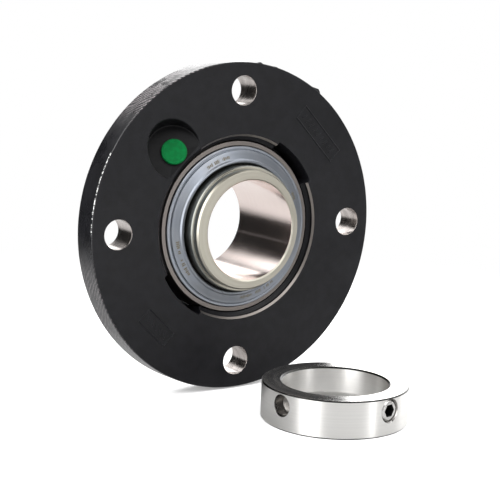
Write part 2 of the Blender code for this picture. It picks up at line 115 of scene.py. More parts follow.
class Sheet:
    """Adds and links the nodes of one node tree."""

    def __init__(self, tree: NodeTree) -> None:
        """Work on a tree."""
        self.tree = tree

    def add(self, kind: str, inputs: dict[Union[str, int], Socket] | None = None,
            **settings) -> Node:
        """Add a node.

        Args:
            kind: the node's type name.
            inputs: values or output sockets for its inputs, by name or number.
            settings: properties of the node itself, set before its inputs.

        Returns:
            The node.
        """
        node = self.tree.nodes.new(kind)
        for name, value in settings.items():
            setattr(node, name, value)
        for key, value in (inputs or {}).items():
            self.join(value, node.inputs[key])
        return node

    def join(self, value: Socket, target: NodeSocket) -> None:
        """Link an output socket to an input, or set the input's value."""
        if isinstance(value, NodeSocket):
            self.tree.links.new(value, target)
        else:
            target.default_value = value

    def calc(self, operation: str, *values: Socket, clamp: bool = False) -> NodeSocket:
        """One Math node's result."""
        inputs = dict(enumerate(values))
        return self.add("ShaderNodeMath", inputs, operation=operation, use_clamp=clamp).outputs[0]

    def plus(self, first: Socket, second: Socket, clamp: bool = False) -> NodeSocket:
        """The sum of two values."""
        return self.calc("ADD", first, second, clamp=clamp)

    def minus(self, first: Socket, second: Socket) -> NodeSocket:
        """The difference of two values."""
        return self.calc("SUBTRACT", first, second)

    def times(self, first: Socket, second: Socket) -> NodeSocket:
        """The product of two values."""
        return self.calc("MULTIPLY", first, second)

    def split(self, vector: Socket) -> tuple[NodeSocket, NodeSocket, NodeSocket]:
        """A vector's X, Y and Z."""
        return tuple(self.add("ShaderNodeSeparateXYZ", {0: vector}).outputs)

    def vector(self, x: Socket = 0.0, y: Socket = 0.0, z: Socket = 0.0) -> NodeSocket:
        """A vector from its X, Y and Z."""
        return self.add("ShaderNodeCombineXYZ", {0: x, 1: y, 2: z}).outputs[0]

    def length(self, vector: Socket) -> NodeSocket:
        """A vector's length."""
        node = self.add("ShaderNodeVectorMath", {0: vector}, operation="LENGTH")
        return node.outputs["Value"]

    def ramp(self, value: Socket, low: float, high: float, start: float = 0.0,
             end: float = 1.0) -> NodeSocket:
        """Map a value smoothly from low..high to start..end."""
        kind = "SMOOTHSTEP"
        node = self.add("ShaderNodeMapRange", {0: value, 1: low, 2: high, 3: start, 4: end},
                        interpolation_type=kind)
        return node.outputs[0]

    def blend(self, share: Socket, first: Socket, second: Socket) -> NodeSocket:
        """Mix two colours by a share."""
        node = self.add("ShaderNodeMix", data_type="RGBA")
        for key, value in ((0, share), (6, first), (7, second)):
            self.join(value, node.inputs[key])
        return node.outputs[2]

    def window(self, value: Socket, low: float, high: float, soft: float) -> NodeSocket:
        """1 where the value lies between low and high, with soft edges."""
        rise = self.ramp(value, low - soft, low + soft)
        fall = self.ramp(value, high - soft, high + soft, 1.0, 0.0)
        return self.times(rise, fall)


def open_group(name: str, kind: str, inputs: dict[str, str],
               outputs: dict[str, str]) -> tuple[Sheet, Sockets, Sockets]:
    """Start a node group.

    Args:
        name: the group's name.
        kind: ShaderNodeTree or GeometryNodeTree.
        inputs: what goes in, by name, each with its socket type's last word.
        outputs: what comes out.

    Returns:
        The sheet, the sockets that bring the inputs and the sockets that take the outputs.
    """
    tree = bpy.data.node_groups.new(name, kind)
    for way, sockets in (("INPUT", inputs), ("OUTPUT", outputs)):
        for label, socket in sockets.items():
            tree.interface.new_socket(label, in_out=way, socket_type=f"NodeSocket{socket}")
    sheet = Sheet(tree)
    return sheet, sheet.add("NodeGroupInput").outputs, sheet.add("NodeGroupOutput").inputs


class GrowTrees:
    """The Geometry Nodes trees that make what is turned, threaded or repeated."""

    row_sizes: tuple[Corner, Corner] = ((0.9, 0.8, 0.9), (1.1, 1.1, 1.1))    # least and most
    # Least and most of a grain's place along its arc, its two offsets and its size.
    grit_draws: tuple[Place, ...] = ((0.0, 1.0), (-1.0, 1.0), (-1.0, 1.0), (0.35, 1.0))

    def __init__(self) -> None:
        """Build each tree once."""
        self.lathe = self._lathe()
        self.thread = self._thread()
        self.row = self._row()
        self.grit = self._grit()

    @staticmethod
    def _close(sheet: Sheet, shape: Socket, material: Socket, out: Node) -> None:
        """End a tree in Realize Instances and Set Material."""
        real = sheet.add("GeometryNodeRealizeInstances", {"Geometry": shape})
        dressed = sheet.add("GeometryNodeSetMaterial",
                            {"Geometry": real.outputs[0], "Material": material})
        sheet.join(dressed.outputs[0], out[0])

    def _lathe(self) -> NodeTree:
        """Sweep an outline of (radius, height) points once round the Z axis."""
        sheet, given, out = open_group("lathe", "GeometryNodeTree",
            {"Outline": "Geometry", "Sides": "Int", "Rail": "Float", "Finish": "Material"},
            {"Turned": "Geometry"})
        shift = sheet.vector(sheet.times(given["Rail"], -1.0))
        moved = sheet.add("GeometryNodeTransform",
                          {"Geometry": given["Outline"], "Translation": shift})
        outline = sheet.add("GeometryNodeMeshToCurve", {"Mesh": moved.outputs[0]})
        circle = sheet.add("GeometryNodeCurvePrimitiveCircle",
                           {"Resolution": given["Sides"], "Radius": given["Rail"]})
        rail = sheet.add("GeometryNodeSetCurveNormal", {"Curve": circle.outputs[0]}, mode="Z_UP")
        swept = sheet.add("GeometryNodeCurveToMesh",
                          {"Curve": rail.outputs[0], "Profile Curve": outline.outputs[0]})
        upright = sheet.add("GeometryNodeTransform",
                            {"Geometry": swept.outputs[0], "Rotation": (math.pi, 0.0, 0.0)})
        welded = sheet.add("GeometryNodeMergeByDistance",
                           {"Geometry": upright.outputs[0], "Distance": WELD})
        self._close(sheet, welded.outputs[0], given["Finish"], out)
        return sheet.tree

    def _thread(self) -> NodeTree:
        """Press a screw thread into a turned shape about Z, between two heights."""
        sheet, given, out = open_group("thread", "GeometryNodeTree",
            {"Blank": "Geometry", "Pitch": "Float", "Depth": "Float", "From": "Float",
             "To": "Float", "Core": "Float", "Finish": "Material"}, {"Threaded": "Geometry"})
        place = sheet.add("GeometryNodeInputPosition").outputs[0]
        axes = sheet.split(place)
        turn = sheet.calc("DIVIDE", sheet.calc("ARCTAN2", axes[1], axes[0]), FULL_TURN)
        climb = sheet.calc("DIVIDE", axes[2], given["Pitch"])
        wave = sheet.calc("PINGPONG", sheet.minus(climb, turn), 0.5)
        flat = sheet.vector(axes[0], axes[1])
        inwards = sheet.add("ShaderNodeVectorMath", {0: flat}, operation="NORMALIZE")
        depth = sheet.times(sheet.times(wave, given["Depth"]), -2.0)
        push = sheet.add("ShaderNodeVectorMath", {0: inwards.outputs[0], "Scale": depth},
                         operation="SCALE")
        radius = sheet.length(flat)
        above = sheet.calc("GREATER_THAN", axes[2], given["From"])
        below = sheet.calc("LESS_THAN", axes[2], given["To"])
        skin = sheet.calc("GREATER_THAN", radius, given["Core"])
        chosen = sheet.times(sheet.times(above, below), skin)
        moved = sheet.add("GeometryNodeSetPosition", {
            "Geometry": given["Blank"], "Selection": chosen, "Offset": push.outputs[0]})
        self._close(sheet, moved.outputs[0], given["Finish"], out)
        return sheet.tree

    def _row(self) -> NodeTree:
        """Repeat a shape in a straight, centred row along X, each a little different."""
        sheet, given, out = open_group("row", "GeometryNodeTree",
            {"Shape": "Geometry", "Count": "Int", "Step": "Float", "Lean": "Float",
             "Seed": "Int", "Finish": "Material"}, {"Row": "Geometry"})
        gaps = sheet.minus(given["Count"], 1.0)
        half = sheet.times(sheet.times(gaps, given["Step"]), -0.5)
        start = sheet.vector(half)
        step = sheet.vector(given["Step"])
        line = sheet.add("GeometryNodeMeshLine", {
            "Count": given["Count"], "Start Location": start, "Offset": step})
        size = sheet.add("FunctionNodeRandomValue", data_type="FLOAT_VECTOR")
        for number, limit in enumerate(self.row_sizes):
            size.inputs[number].default_value = limit
        sheet.join(given["Seed"], size.inputs["Seed"])
        lean = sheet.vector(z=given["Lean"])
        copies = sheet.add("GeometryNodeInstanceOnPoints", {
            "Points": line.outputs[0], "Instance": given["Shape"],
            "Rotation": lean, "Scale": size.outputs[0]})
        self._close(sheet, copies.outputs[0], given["Finish"], out)
        return sheet.tree

    def _grit(self) -> NodeTree:
        """Scatter fine grains along an arc about the shaft axis, between two angles."""
        sheet, given, out = open_group("grit", "GeometryNodeTree",
            {"Blank": "Geometry", "Count": "Int", "From": "Float", "To": "Float",
             "Radius": "Float", "Height": "Float", "Grain": "Float", "Scatter": "Float",
             "Seed": "Int", "Finish": "Material"}, {"Grains": "Geometry"})
        line = sheet.add("GeometryNodeMeshLine", {"Count": given["Count"]})
        draws = []
        for number, (low, high) in enumerate(self.grit_draws):
            draw = sheet.add("FunctionNodeRandomValue", data_type="FLOAT")
            draw.inputs[2].default_value, draw.inputs[3].default_value = low, high
            seed = sheet.plus(given["Seed"], float(number))
            sheet.join(seed, draw.inputs["Seed"])
            draws.append(draw.outputs[1])
        share, aside, along, size = draws
        span = sheet.minus(given["To"], given["From"])
        angle = sheet.plus(given["From"], sheet.times(span, share))
        radius = sheet.plus(given["Radius"], sheet.times(aside, given["Scatter"]))
        height = sheet.plus(given["Height"], sheet.times(along, given["Scatter"]))
        spot = sheet.vector(sheet.times(radius, sheet.calc("COSINE", angle)), height,
                            sheet.times(radius, sheet.calc("SINE", angle)))
        placed = sheet.add("GeometryNodeSetPosition",
                           {"Geometry": line.outputs[0], "Position": spot})
        grain = sheet.add("GeometryNodeMeshIcoSphere",
                          {"Radius": given["Grain"], "Subdivisions": 1})
        copies = sheet.add("GeometryNodeInstanceOnPoints", {
            "Points": placed.outputs[0], "Instance": grain.outputs[0], "Scale": size})
        self._close(sheet, copies.outputs[0], given["Finish"], out)
        return sheet.tree


# ---------------------------------------------------------------------------------------------
# Shapes
# ---------------------------------------------------------------------------------------------

def linked(name: str, data: Union[Mesh, bpy.types.Camera]) -> Object:
    """A new object in the scene."""
    holder = bpy.data.objects.new(name, data)
    bpy.context.scene.collection.objects.link(holder)
    return holder


def grow(tree: NodeTree, mesh: Mesh, **values) -> Mesh:
    """Run a Geometry Nodes tree on a mesh.

    Args:
        tree: the tree.
        mesh: the geometry that goes in.
        values: the tree's inputs by name.

    Returns:
        A plain mesh.
    """
    holder = linked(tree.name, mesh)
    modifier = holder.modifiers.new(tree.name, "NODES")
    modifier.node_group = tree
    for item in tree.interface.items_tree:
        if item.in_out == "INPUT" and item.name in values:
            modifier[item.identifier] = values[item.name]
    return settle(holder)


def settle(holder: Object) -> Mesh:
    """Take an object's evaluated shape as a plain mesh and remove the object."""
    graph = bpy.context.evaluated_depsgraph_get()
    mesh = bpy.data.meshes.new_from_object(holder.evaluated_get(graph))
    bpy.data.objects.remove(holder)
    while len(mesh.materials) > 1 and mesh.materials[0] is None:
        mesh.materials.pop(index=0)
    return mesh


def arc(centre: Place, radius: float, start: float, end: float, steps: int) -> list[Place]:
    """Points on an arc; angles in degrees from the radial direction towards the height."""
    turns = [math.radians(start + (end - start) * step / steps) for step in range(steps + 1)]
    return [(centre[0] + radius * math.cos(turn), centre[1] + radius * math.sin(turn))
            for turn in turns]


def rounded(corners: Sequence[Corner], closed: bool = True) -> list[Place]:
    """Round the corners of an outline.

    Args:
        corners: (radius, height, rounding radius) for each corner, in order; 0 keeps it sharp.
        closed: whether the last corner joins the first.

    Returns:
        The outline's points.
    """
    points: list[Place] = []
    count = len(corners)
    for number, (x, y, size) in enumerate(corners):
        here = Vector((x, y))
        if size <= 0 or (not closed and number in (0, count - 1)):
            points.append((x, y))
            continue
        back = Vector(corners[number - 1][:2]) - here
        ahead = Vector(corners[(number + 1) % count][:2]) - here
        half = back.angle(ahead) / 2
        reach = min(size / math.tan(half), 0.48 * back.length, 0.48 * ahead.length)
        start, end = here + back.normalized() * reach, here + ahead.normalized() * reach
        centre = here + (back.normalized() + ahead.normalized()).normalized() * (reach / math.cos(half))
        for step in range(FILLET_STEPS + 1):
            spoke = (start - centre).lerp(end - centre, step / FILLET_STEPS)
            # A chord's point is pushed out to the rounding's radius, which spaces the steps evenly enough.
            points.append(tuple(centre + spoke.normalized() * (start - centre).length))
    return points


def tidy(mesh: Mesh) -> Mesh:
    """Merge a mesh's doubles and turn its faces outwards."""
    shape = bmesh.new()
    shape.from_mesh(mesh)
    bmesh.ops.remove_doubles(shape, verts=shape.verts, dist=WELD)
    bmesh.ops.dissolve_degenerate(shape, edges=shape.edges, dist=WELD)
    bmesh.ops.recalc_face_normals(shape, faces=shape.faces)
    shape.to_mesh(mesh)
    shape.free()
    return mesh


def loft(rings: Sequence[Sequence[Vector]], looped: bool = False) -> Mesh:
    """Join closed rings of points into a solid.

    Args:
        rings: rings with the same number of points.
        looped: join the last ring to the first; otherwise both end rings are capped.

    Returns:
        The closed mesh.
    """
    shape = bmesh.new()
    rows = [[shape.verts.new(point) for point in ring] for ring in rings]
    for number in range(len(rows) if looped else len(rows) - 1):
        low, high = rows[number], rows[(number + 1) % len(rows)]
        for side in range(len(low)):
            beside = (side + 1) % len(low)
            shape.faces.new((low[side], low[beside], high[beside], high[side]))
    if not looped:
        shape.faces.new(rows[0])
        shape.faces.new(rows[-1])
    mesh = bpy.data.meshes.new("loft")
    shape.to_mesh(mesh)
    shape.free()
    return tidy(mesh)


def joined(meshes: Iterable[Mesh]) -> Mesh:
    """Put several meshes into one."""
    shape = bmesh.new()
    for mesh in meshes:
        shape.from_mesh(mesh)
    whole = bpy.data.meshes.new("joined")
    shape.to_mesh(whole)
    shape.free()
    return whole


def carve(mesh: Mesh, tools: Sequence[Mesh]) -> Mesh:
    """Cut tools out of a solid, one after the other."""
    holder = linked("carved", mesh)
    guides = []
    for tool in tools:
        guide = linked("tool", tool)
        boolean = holder.modifiers.new("carve", "BOOLEAN")
        boolean.solver = "EXACT"
        boolean.operation = "DIFFERENCE"
        boolean.object = guide
        guides.append(guide)
    result = settle(holder)
    for guide in guides:
        bpy.data.objects.remove(guide)
    return tidy(result)


def quarter(size: float, steps: int = FILLET_STEPS) -> list[Place]:
    """(how far out, how deep) along the rounding of an opening's edge, from the face inwards."""
    turns = [math.radians(8 + 82 * step / steps) for step in range(steps + 1)]
    return [(size * (1 - math.sin(turn)), size * (1 - math.cos(turn))) for turn in turns]


def drill(radius: float, front: float, back: float, edge: float,
          over: float = 1.0 * MM) -> list[Place]:
    """Open outline of a through hole's cutter about Z, widening at both faces to round their edges."""
    inwards = [(radius + out, front + deep) for out, deep in quarter(edge)]
    outwards = [(radius + out, back - deep) for out, deep in reversed(quarter(edge))]
    return ([(0.0, front - over), (radius + edge, front - over)] + inwards + outwards
            + [(radius + edge, back + over), (0.0, back + over)])


def radial(degrees: float) -> Vector:
    """Unit vector away from the shaft axis, at an angle from +X towards +Z."""
    turn = math.radians(degrees)
    return Vector((math.cos(turn), 0.0, math.sin(turn)))


def paint_faces(mesh: Mesh, material: Material, chosen: Callable[[Vector, Vector], bool]) -> None:
    """Give a finish to the faces whose centre and normal pass a test."""
    mesh.materials.append(material)
    index = len(mesh.materials) - 1
    for face in mesh.polygons:
        if chosen(face.center, face.normal):
            face.material_index = index


class PieceShelf:
    """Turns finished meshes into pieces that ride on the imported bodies."""

    def __init__(self, log: logging.Logger) -> None:
        """Keep the logger that each piece is reported to."""
        self.log = log
        self.count = 0

    def put(self, name: str, mesh: Mesh, body: str, slot: Slot, nodes: Sequence[str] = (),
            weighted: bool = True) -> Object:
        """Make a piece.

        Args:
            name: the piece's name.
            mesh: its mesh, already in place.
            body: the body that it rides on.
            slot: the record's material slot for its finish; not used.
            nodes: the CAD nodes that it stands for.
            weighted: let the large faces lead the shading of the roundings.

        Returns:
            The piece's object.
        """
        mesh.name = name
        mesh.shade_smooth()
        mesh.set_sharp_from_angle(angle=SHARP_ANGLE)
        piece = linked(name, mesh)
        if weighted:
            modifier = piece.modifiers.new("weighted", "WEIGHTED_NORMAL")
            modifier.keep_sharp = True
            graph = bpy.context.evaluated_depsgraph_get()
            piece.data = bpy.data.meshes.new_from_object(piece.evaluated_get(graph))
            piece.data.name = name
            piece.modifiers.clear()
        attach(piece, body)
        if nodes:
            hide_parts(*nodes)
        self.count += 1
        self.log.info("%s: %d faces on %s", name, len(piece.data.polygons), body)
        return piece


# ---------------------------------------------------------------------------------------------
# Finishes
# ---------------------------------------------------------------------------------------------

class Effects:
    """Shader groups that several finishes share."""

    across: float = 0.83                 # how fast turned lines follow each other over a face
    along: float = 1.17                  # and along a wall
    worn_fade: float = 7.0               # degrees over which a worn stretch fades in and out
    worn_stretches: tuple[Corner, ...] = (
        (105, 136, 1.2), (-168, -135, 0.4))     # from and to in degrees, and how worn

    def __init__(self) -> None:
        """Build each group once."""
        self.lines = self._lines()
        self.smudge = self._smudge()
        self.skin = self._skin()
        self.dressing = self._dressing()

    @staticmethod
    def _noise(sheet: Sheet, vector: Socket, scale: Socket, detail: float,
               rough: float = 0.5) -> NodeSocket:
        """A 3D noise between 0 and 1."""
        node = sheet.add("ShaderNodeTexNoise", {
            "Vector": vector, "Scale": scale, "Detail": detail, "Roughness": rough})
        return node.outputs[0]

    @classmethod
    def _lines(cls) -> NodeTree:
        """Marks that a turning tool leaves: rings about the Z axis of the given coordinates."""
        sheet, given, out = open_group("turned_lines", "ShaderNodeTree",
            {"Vector": "Vector", "Frequency": "Float"}, {"Height": "Float", "Tone": "Float"})
        axes = sheet.split(given["Vector"])
        flat = sheet.vector(axes[0], axes[1])
        radius = sheet.length(flat)
        place = sheet.plus(sheet.times(radius, cls.across), sheet.times(axes[2], cls.along))
        fine = sheet.add("ShaderNodeTexNoise", {
            "W": place, "Scale": given["Frequency"], "Detail": 4.0, "Roughness": 0.65},
            noise_dimensions="1D")
        broad = sheet.add("ShaderNodeTexNoise", {
            "W": place, "Scale": sheet.times(given["Frequency"], 0.17), "Detail": 2.0},
            noise_dimensions="1D")
        sheet.join(fine.outputs[0], out["Height"])
        sheet.join(sheet.ramp(broad.outputs[0], 0.3, 0.7), out["Tone"])
        return sheet.tree

    @staticmethod
    def _smudge() -> NodeTree:
        """Cloudy patches of oil film and handling, from 0 to 1."""
        sheet, given, out = open_group("smudge", "ShaderNodeTree",
            {"Vector": "Vector", "Scale": "Float"}, {"Factor": "Float"})
        bent = sheet.add("ShaderNodeTexNoise", {
            "Vector": given["Vector"], "Scale": given["Scale"], "Detail": 5.0, "Distortion": 1.2})
        sheet.join(sheet.ramp(bent.outputs[0], 0.35, 0.68), out["Factor"])
        return sheet.tree

    @classmethod
    def _skin(cls) -> NodeTree:
        """Sand-cast skin under paint: grain, broader waves and a few pits."""
        sheet, given, out = open_group("cast_skin", "ShaderNodeTree",
            {"Vector": "Vector", "Grain": "Float"}, {"Height": "Float", "Tone": "Float"})
        vector, grain = given["Vector"], given["Grain"]
        fine = cls._noise(sheet, vector, grain, 3.0, 0.6)
        waves = cls._noise(sheet, vector, sheet.times(grain, 0.22), 2.0)
        pits = sheet.add("ShaderNodeTexVoronoi",
                         {"Vector": vector, "Scale": sheet.times(grain, 0.3)})
        pit = sheet.ramp(pits.outputs["Distance"], 0.0, 0.16, -0.5, 0.0)
        height = sheet.plus(sheet.plus(fine, sheet.times(waves, 1.6)), pit)
        sheet.join(height, out["Height"])
        sheet.join(sheet.ramp(waves, 0.3, 0.7), out["Tone"])
        return sheet.tree

    @classmethod
    def _dressing(cls) -> NodeTree:
        """Slanting grinder marks round a rim about the Y axis, in two worn stretches."""
        sheet, given, out = open_group("dressing_marks", "ShaderNodeTree",
            {"Vector": "Vector", "Per Turn": "Float", "Slant": "Float"},
            {"Height": "Float", "Worn": "Float"})
        vector = given["Vector"]
        axes = sheet.split(vector)
        angle = sheet.calc("ARCTAN2", axes[2], axes[0])
        turns = sheet.times(sheet.calc("DIVIDE", angle, FULL_TURN), given["Per Turn"])
        slant = sheet.times(axes[1], given["Slant"])
        uneven = sheet.times(cls._noise(sheet, vector, 150.0, 1.0), 1.6)
        marks = sheet.calc("PINGPONG", sheet.plus(sheet.plus(turns, slant), uneven), 0.5)
        worn: Socket = 0.0
        for start, end, share in cls.worn_stretches:
            ends = math.radians(start), math.radians(end)
            stretch = sheet.window(angle, *ends, math.radians(cls.worn_fade))
            worn = sheet.plus(worn, sheet.times(stretch, share))
        patches = sheet.ramp(cls._noise(sheet, vector, 120.0, 3.0), 0.3, 0.5)
        mask = sheet.times(worn, patches)
        sheet.join(sheet.times(marks, mask), out["Height"])
        sheet.join(sheet.times(sheet.ramp(marks, 0.2, 0.42), mask), out["Worn"])
        return sheet.tree


@dataclass(frozen=True)
class Finish:
    """What every finish has: a name, a colour and how the surface takes light."""

    name: str
    colour: Colour
    roughness: float
    metallic: float = 0.0

    def start(self) -> tuple[Material, Sheet, Node]:
        """A new material with its sheet and its Principled shader, all constants set."""
        material = bpy.data.materials.new(self.name)
        material.use_nodes = True
        shader = material.node_tree.nodes["Principled BSDF"]
        shader.inputs["Base Color"].default_value = (*self.colour, 1.0)
        shader.inputs["Roughness"].default_value = self.roughness
        shader.inputs["Metallic"].default_value = self.metallic
        return material, Sheet(material.node_tree), shader

    def coordinates(self, sheet: Sheet, centre: Sequence[float] = (0, 0, 0),
                    turn: Sequence[float] = (0, 0, 0)) -> NodeSocket:
        """Object coordinates, centred on a point and then turned."""
        source = sheet.add("ShaderNodeTexCoord").outputs["Object"]
        moved = sheet.add("ShaderNodeVectorMath", {0: source, 1: tuple(centre)},
                          operation="SUBTRACT")
        mapping = sheet.add("ShaderNodeMapping",
                            {"Vector": moved.outputs[0], "Rotation": tuple(turn)})
        return mapping.outputs[0]

    def shades(self, sheet: Sheet, share: Socket, dark: float, light: float) -> NodeSocket:
        """The colour, from a darker to a lighter share of itself."""
        low = tuple(channel * dark for channel in self.colour) + (1.0,)
        high = tuple(min(1.0, channel * light) for channel in self.colour) + (1.0,)
        return sheet.blend(share, low, high)

    @staticmethod
    def bump(sheet: Sheet, height: Socket, distance: float, shader: Node) -> None:
        """Feed a height into the shader's normal."""
        node = sheet.add("ShaderNodeBump",
                         {"Height": height, "Distance": distance, "Strength": 1.0})
        sheet.join(node.outputs[0], shader.inputs["Normal"])


@dataclass(frozen=True)
class MachinedSteel(Finish):
    """Turned, ground or polished metal with ring-shaped tool marks about an axis."""

    metallic: float = 1.0
    frequency: float = 2500.0            # tool marks per metre
    depth: float = 0.006 * MM
    contrast: float = 0.12               # how much the marks darken and lighten the colour
    smear: float = 0.1                   # how much handling dulls the surface
    brushed: float = 0.0                 # stretches highlights across marks that run about +Z
    centre: Colour = (0.0, 0.0, 0.0)
    turn: Colour = (math.pi / 2, 0.0, 0.0)

    def build(self, effects: Effects) -> Material:
        """Build the material."""
        material, sheet, shader = self.start()
        shader.inputs["Anisotropic"].default_value = self.brushed
        shader.inputs["Anisotropic Rotation"].default_value = 0.25
        vector = self.coordinates(sheet, self.centre, self.turn)
        lines = sheet.add("ShaderNodeGroup", node_tree=effects.lines)
        sheet.join(vector, lines.inputs["Vector"])
        lines.inputs["Frequency"].default_value = self.frequency
        smudge = sheet.add("ShaderNodeGroup", node_tree=effects.smudge)
        sheet.join(vector, smudge.inputs["Vector"])
        smudge.inputs["Scale"].default_value = 45.0
        tone = self.shades(sheet, lines.outputs["Tone"], 1 - self.contrast, 1 + self.contrast)
        film = sheet.blend(sheet.times(smudge.outputs[0], self.smear), tone,
                           (0.42, 0.38, 0.33, 1.0))
        sheet.join(film, shader.inputs["Base Color"])
        grain = sheet.times(lines.outputs["Height"], 0.12)
        dull = sheet.times(smudge.outputs[0], self.smear)
        rough = sheet.plus(sheet.plus(grain, dull), self.roughness - 0.06, clamp=True)
        sheet.join(rough, shader.inputs["Roughness"])
        self.bump(sheet, lines.outputs["Height"], self.depth, shader)
        return material


@dataclass(frozen=True)
class CastPaint(Finish):
    """Black satin paint over a sand casting."""

    grain: float = 900.0                 # grains per metre
    depth: float = 0.05 * MM
    dust: float = 0.008                  # how much dust lightens the paint
    shine: float = 0.2
    marks: float = 0.0                   # depth of slanting grinder marks
    worn: Colour = (0.30, 0.26, 0.27)    # what the marks have laid bare

    def build(self, effects: Effects) -> Material:
        """Build the material."""
        material, sheet, shader = self.start()
        vector = self.coordinates(sheet)
        skin = sheet.add("ShaderNodeGroup", node_tree=effects.skin)
        sheet.join(vector, skin.inputs["Vector"])
        skin.inputs["Grain"].default_value = self.grain
        smudge = sheet.add("ShaderNodeGroup", node_tree=effects.smudge)
        sheet.join(vector, smudge.inputs["Vector"])
        smudge.inputs["Scale"].default_value = 28.0
        tone = self.shades(sheet, skin.outputs["Tone"], 0.82, 1.2)
        dusty = sheet.blend(sheet.times(smudge.outputs[0], self.dust), tone, (0.3, 0.3, 0.33, 1.0))
        sheet.join(dusty, shader.inputs["Base Color"])
        rough = sheet.ramp(smudge.outputs[0], 0.0, 1.0, self.roughness - 0.05,
                           self.roughness + 0.07)
        sheet.join(rough, shader.inputs["Roughness"])
        shader.inputs["Specular IOR Level"].default_value = self.shine
        height = skin.outputs["Height"]
        if self.marks:
            marks = sheet.add("ShaderNodeGroup", node_tree=effects.dressing)
            sheet.join(vector, marks.inputs["Vector"])
            marks.inputs["Per Turn"].default_value = 190.0
            marks.inputs["Slant"].default_value = -360.0
            worn = sheet.times(marks.outputs["Worn"], 0.5)
            sheet.join(sheet.blend(worn, dusty, (*self.worn, 1.0)), shader.inputs["Base Color"])
            cuts = sheet.times(marks.outputs["Height"], self.marks / self.depth)
            height = sheet.plus(height, cuts)
        self.bump(sheet, height, self.depth, shader)
        return material


@dataclass(frozen=True)
class InkBand:
    """A stretch of stamped ink code on the seal cover, between two angles in degrees."""

    start: float
    end: float
    share: float                         # how much of it is inked


@dataclass(frozen=True)
class ZincPlate(Finish):
    """Blue-bright zinc on pressed steel, with short bars of brown ink."""

    metallic: float = 1.0
    bands: tuple[InkBand, ...] = ()
    ink: Colour = (0.10, 0.075, 0.03)
    ink_radii: Place = (35.3 * MM, 36.9 * MM)
    bars: float = 38.0                   # ink bars per radian

    def build(self, effects: Effects) -> Material:
        """Build the material."""
        material, sheet, shader = self.start()
        vector = self.coordinates(sheet, turn=(math.pi / 2, 0.0, 0.0))
        lines = sheet.add("ShaderNodeGroup", node_tree=effects.lines)
        sheet.join(vector, lines.inputs["Vector"])
        lines.inputs["Frequency"].default_value = 1400.0
        smudge = sheet.add("ShaderNodeGroup", node_tree=effects.smudge)
        sheet.join(vector, smudge.inputs["Vector"])
        smudge.inputs["Scale"].default_value = 60.0
        tone = self.shades(sheet, lines.outputs["Tone"], 0.93, 1.07)
        warm = sheet.blend(sheet.times(smudge.outputs[0], 0.07), tone, (0.46, 0.42, 0.36, 1.0))
        ink = self._ink(sheet, vector)
        sheet.join(sheet.blend(ink, warm, (*self.ink, 1.0)), shader.inputs["Base Color"])
        dull = sheet.ramp(smudge.outputs[0], 0.0, 1.0, self.roughness - 0.02, self.roughness + 0.03)
        sheet.join(sheet.plus(dull, sheet.times(ink, 0.2), clamp=True), shader.inputs["Roughness"])
        sheet.join(sheet.minus(1.0, sheet.times(ink, 0.85)), shader.inputs["Metallic"])
        self.bump(sheet, lines.outputs["Height"], 0.003 * MM, shader)
        return material

    def _ink(self, sheet: Sheet, vector: Socket) -> NodeSocket:
        """Where there is ink: rows of plain bars of uneven length, which spell nothing."""
        axes = sheet.split(vector)
        flat = sheet.vector(axes[0], axes[1])
        radius = sheet.length(flat)
        # After the turn about X, the pattern's Y runs down the bearing's face.
        angle = sheet.calc("ARCTAN2", sheet.times(axes[1], -1.0), axes[0])
        step = sheet.times(angle, self.bars)
        number = sheet.calc("FLOOR", step)
        draw = sheet.add("ShaderNodeTexWhiteNoise", {"W": number},
                         noise_dimensions="1D").outputs["Value"]
        inside = sheet.window(sheet.calc("FRACT", step), 0.1, 0.84, 0.06)
        middle = sum(self.ink_radii) / 2
        reach = (self.ink_radii[1] - self.ink_radii[0]) / 2
        off_centre = sheet.calc("ABSOLUTE", sheet.minus(radius, middle))
        height = sheet.times(sheet.plus(draw, 1.1), reach / 1.7)
        tall = sheet.calc("LESS_THAN", off_centre, height)
        total: Socket = 0.0
        for band in self.bands:
            low, high = math.radians(band.start), math.radians(band.end)
            there = sheet.window(angle, low, high, 0.01)
            kept = sheet.calc("LESS_THAN", draw, band.share)
            total = sheet.plus(total, sheet.times(there, kept), clamp=True)
        speckle = sheet.ramp(Effects._noise(sheet, vector, 2600.0, 1.0), 0.3, 0.55, 0.35, 0.95)
        return sheet.times(sheet.times(total, inside), sheet.times(tall, speckle))


@dataclass(frozen=True)
class Moulded(Finish):
    """Plastic or rubber with a fine moulded grain."""

    grain: float = 1600.0
    depth: float = 0.01 * MM
    spread: float = 0.12
    shine: float = 0.25

    def build(self, effects: Effects) -> Material:
        """Build the material."""
        material, sheet, shader = self.start()
        vector = self.coordinates(sheet)
        skin = sheet.add("ShaderNodeGroup", node_tree=effects.skin)
        sheet.join(vector, skin.inputs["Vector"])
        skin.inputs["Grain"].default_value = self.grain
        shader.inputs["Specular IOR Level"].default_value = self.shine
        sheet.join(self.shades(sheet, skin.outputs["Tone"], 1 - self.spread, 1 + self.spread),
                   shader.inputs["Base Color"])
        rough = sheet.ramp(skin.outputs["Tone"], 0.0, 1.0, self.roughness - 0.04,
                           self.roughness + 0.04)
        sheet.join(rough, shader.inputs["Roughness"])
        self.bump(sheet, skin.outputs["Height"], self.depth, shader)
        return material


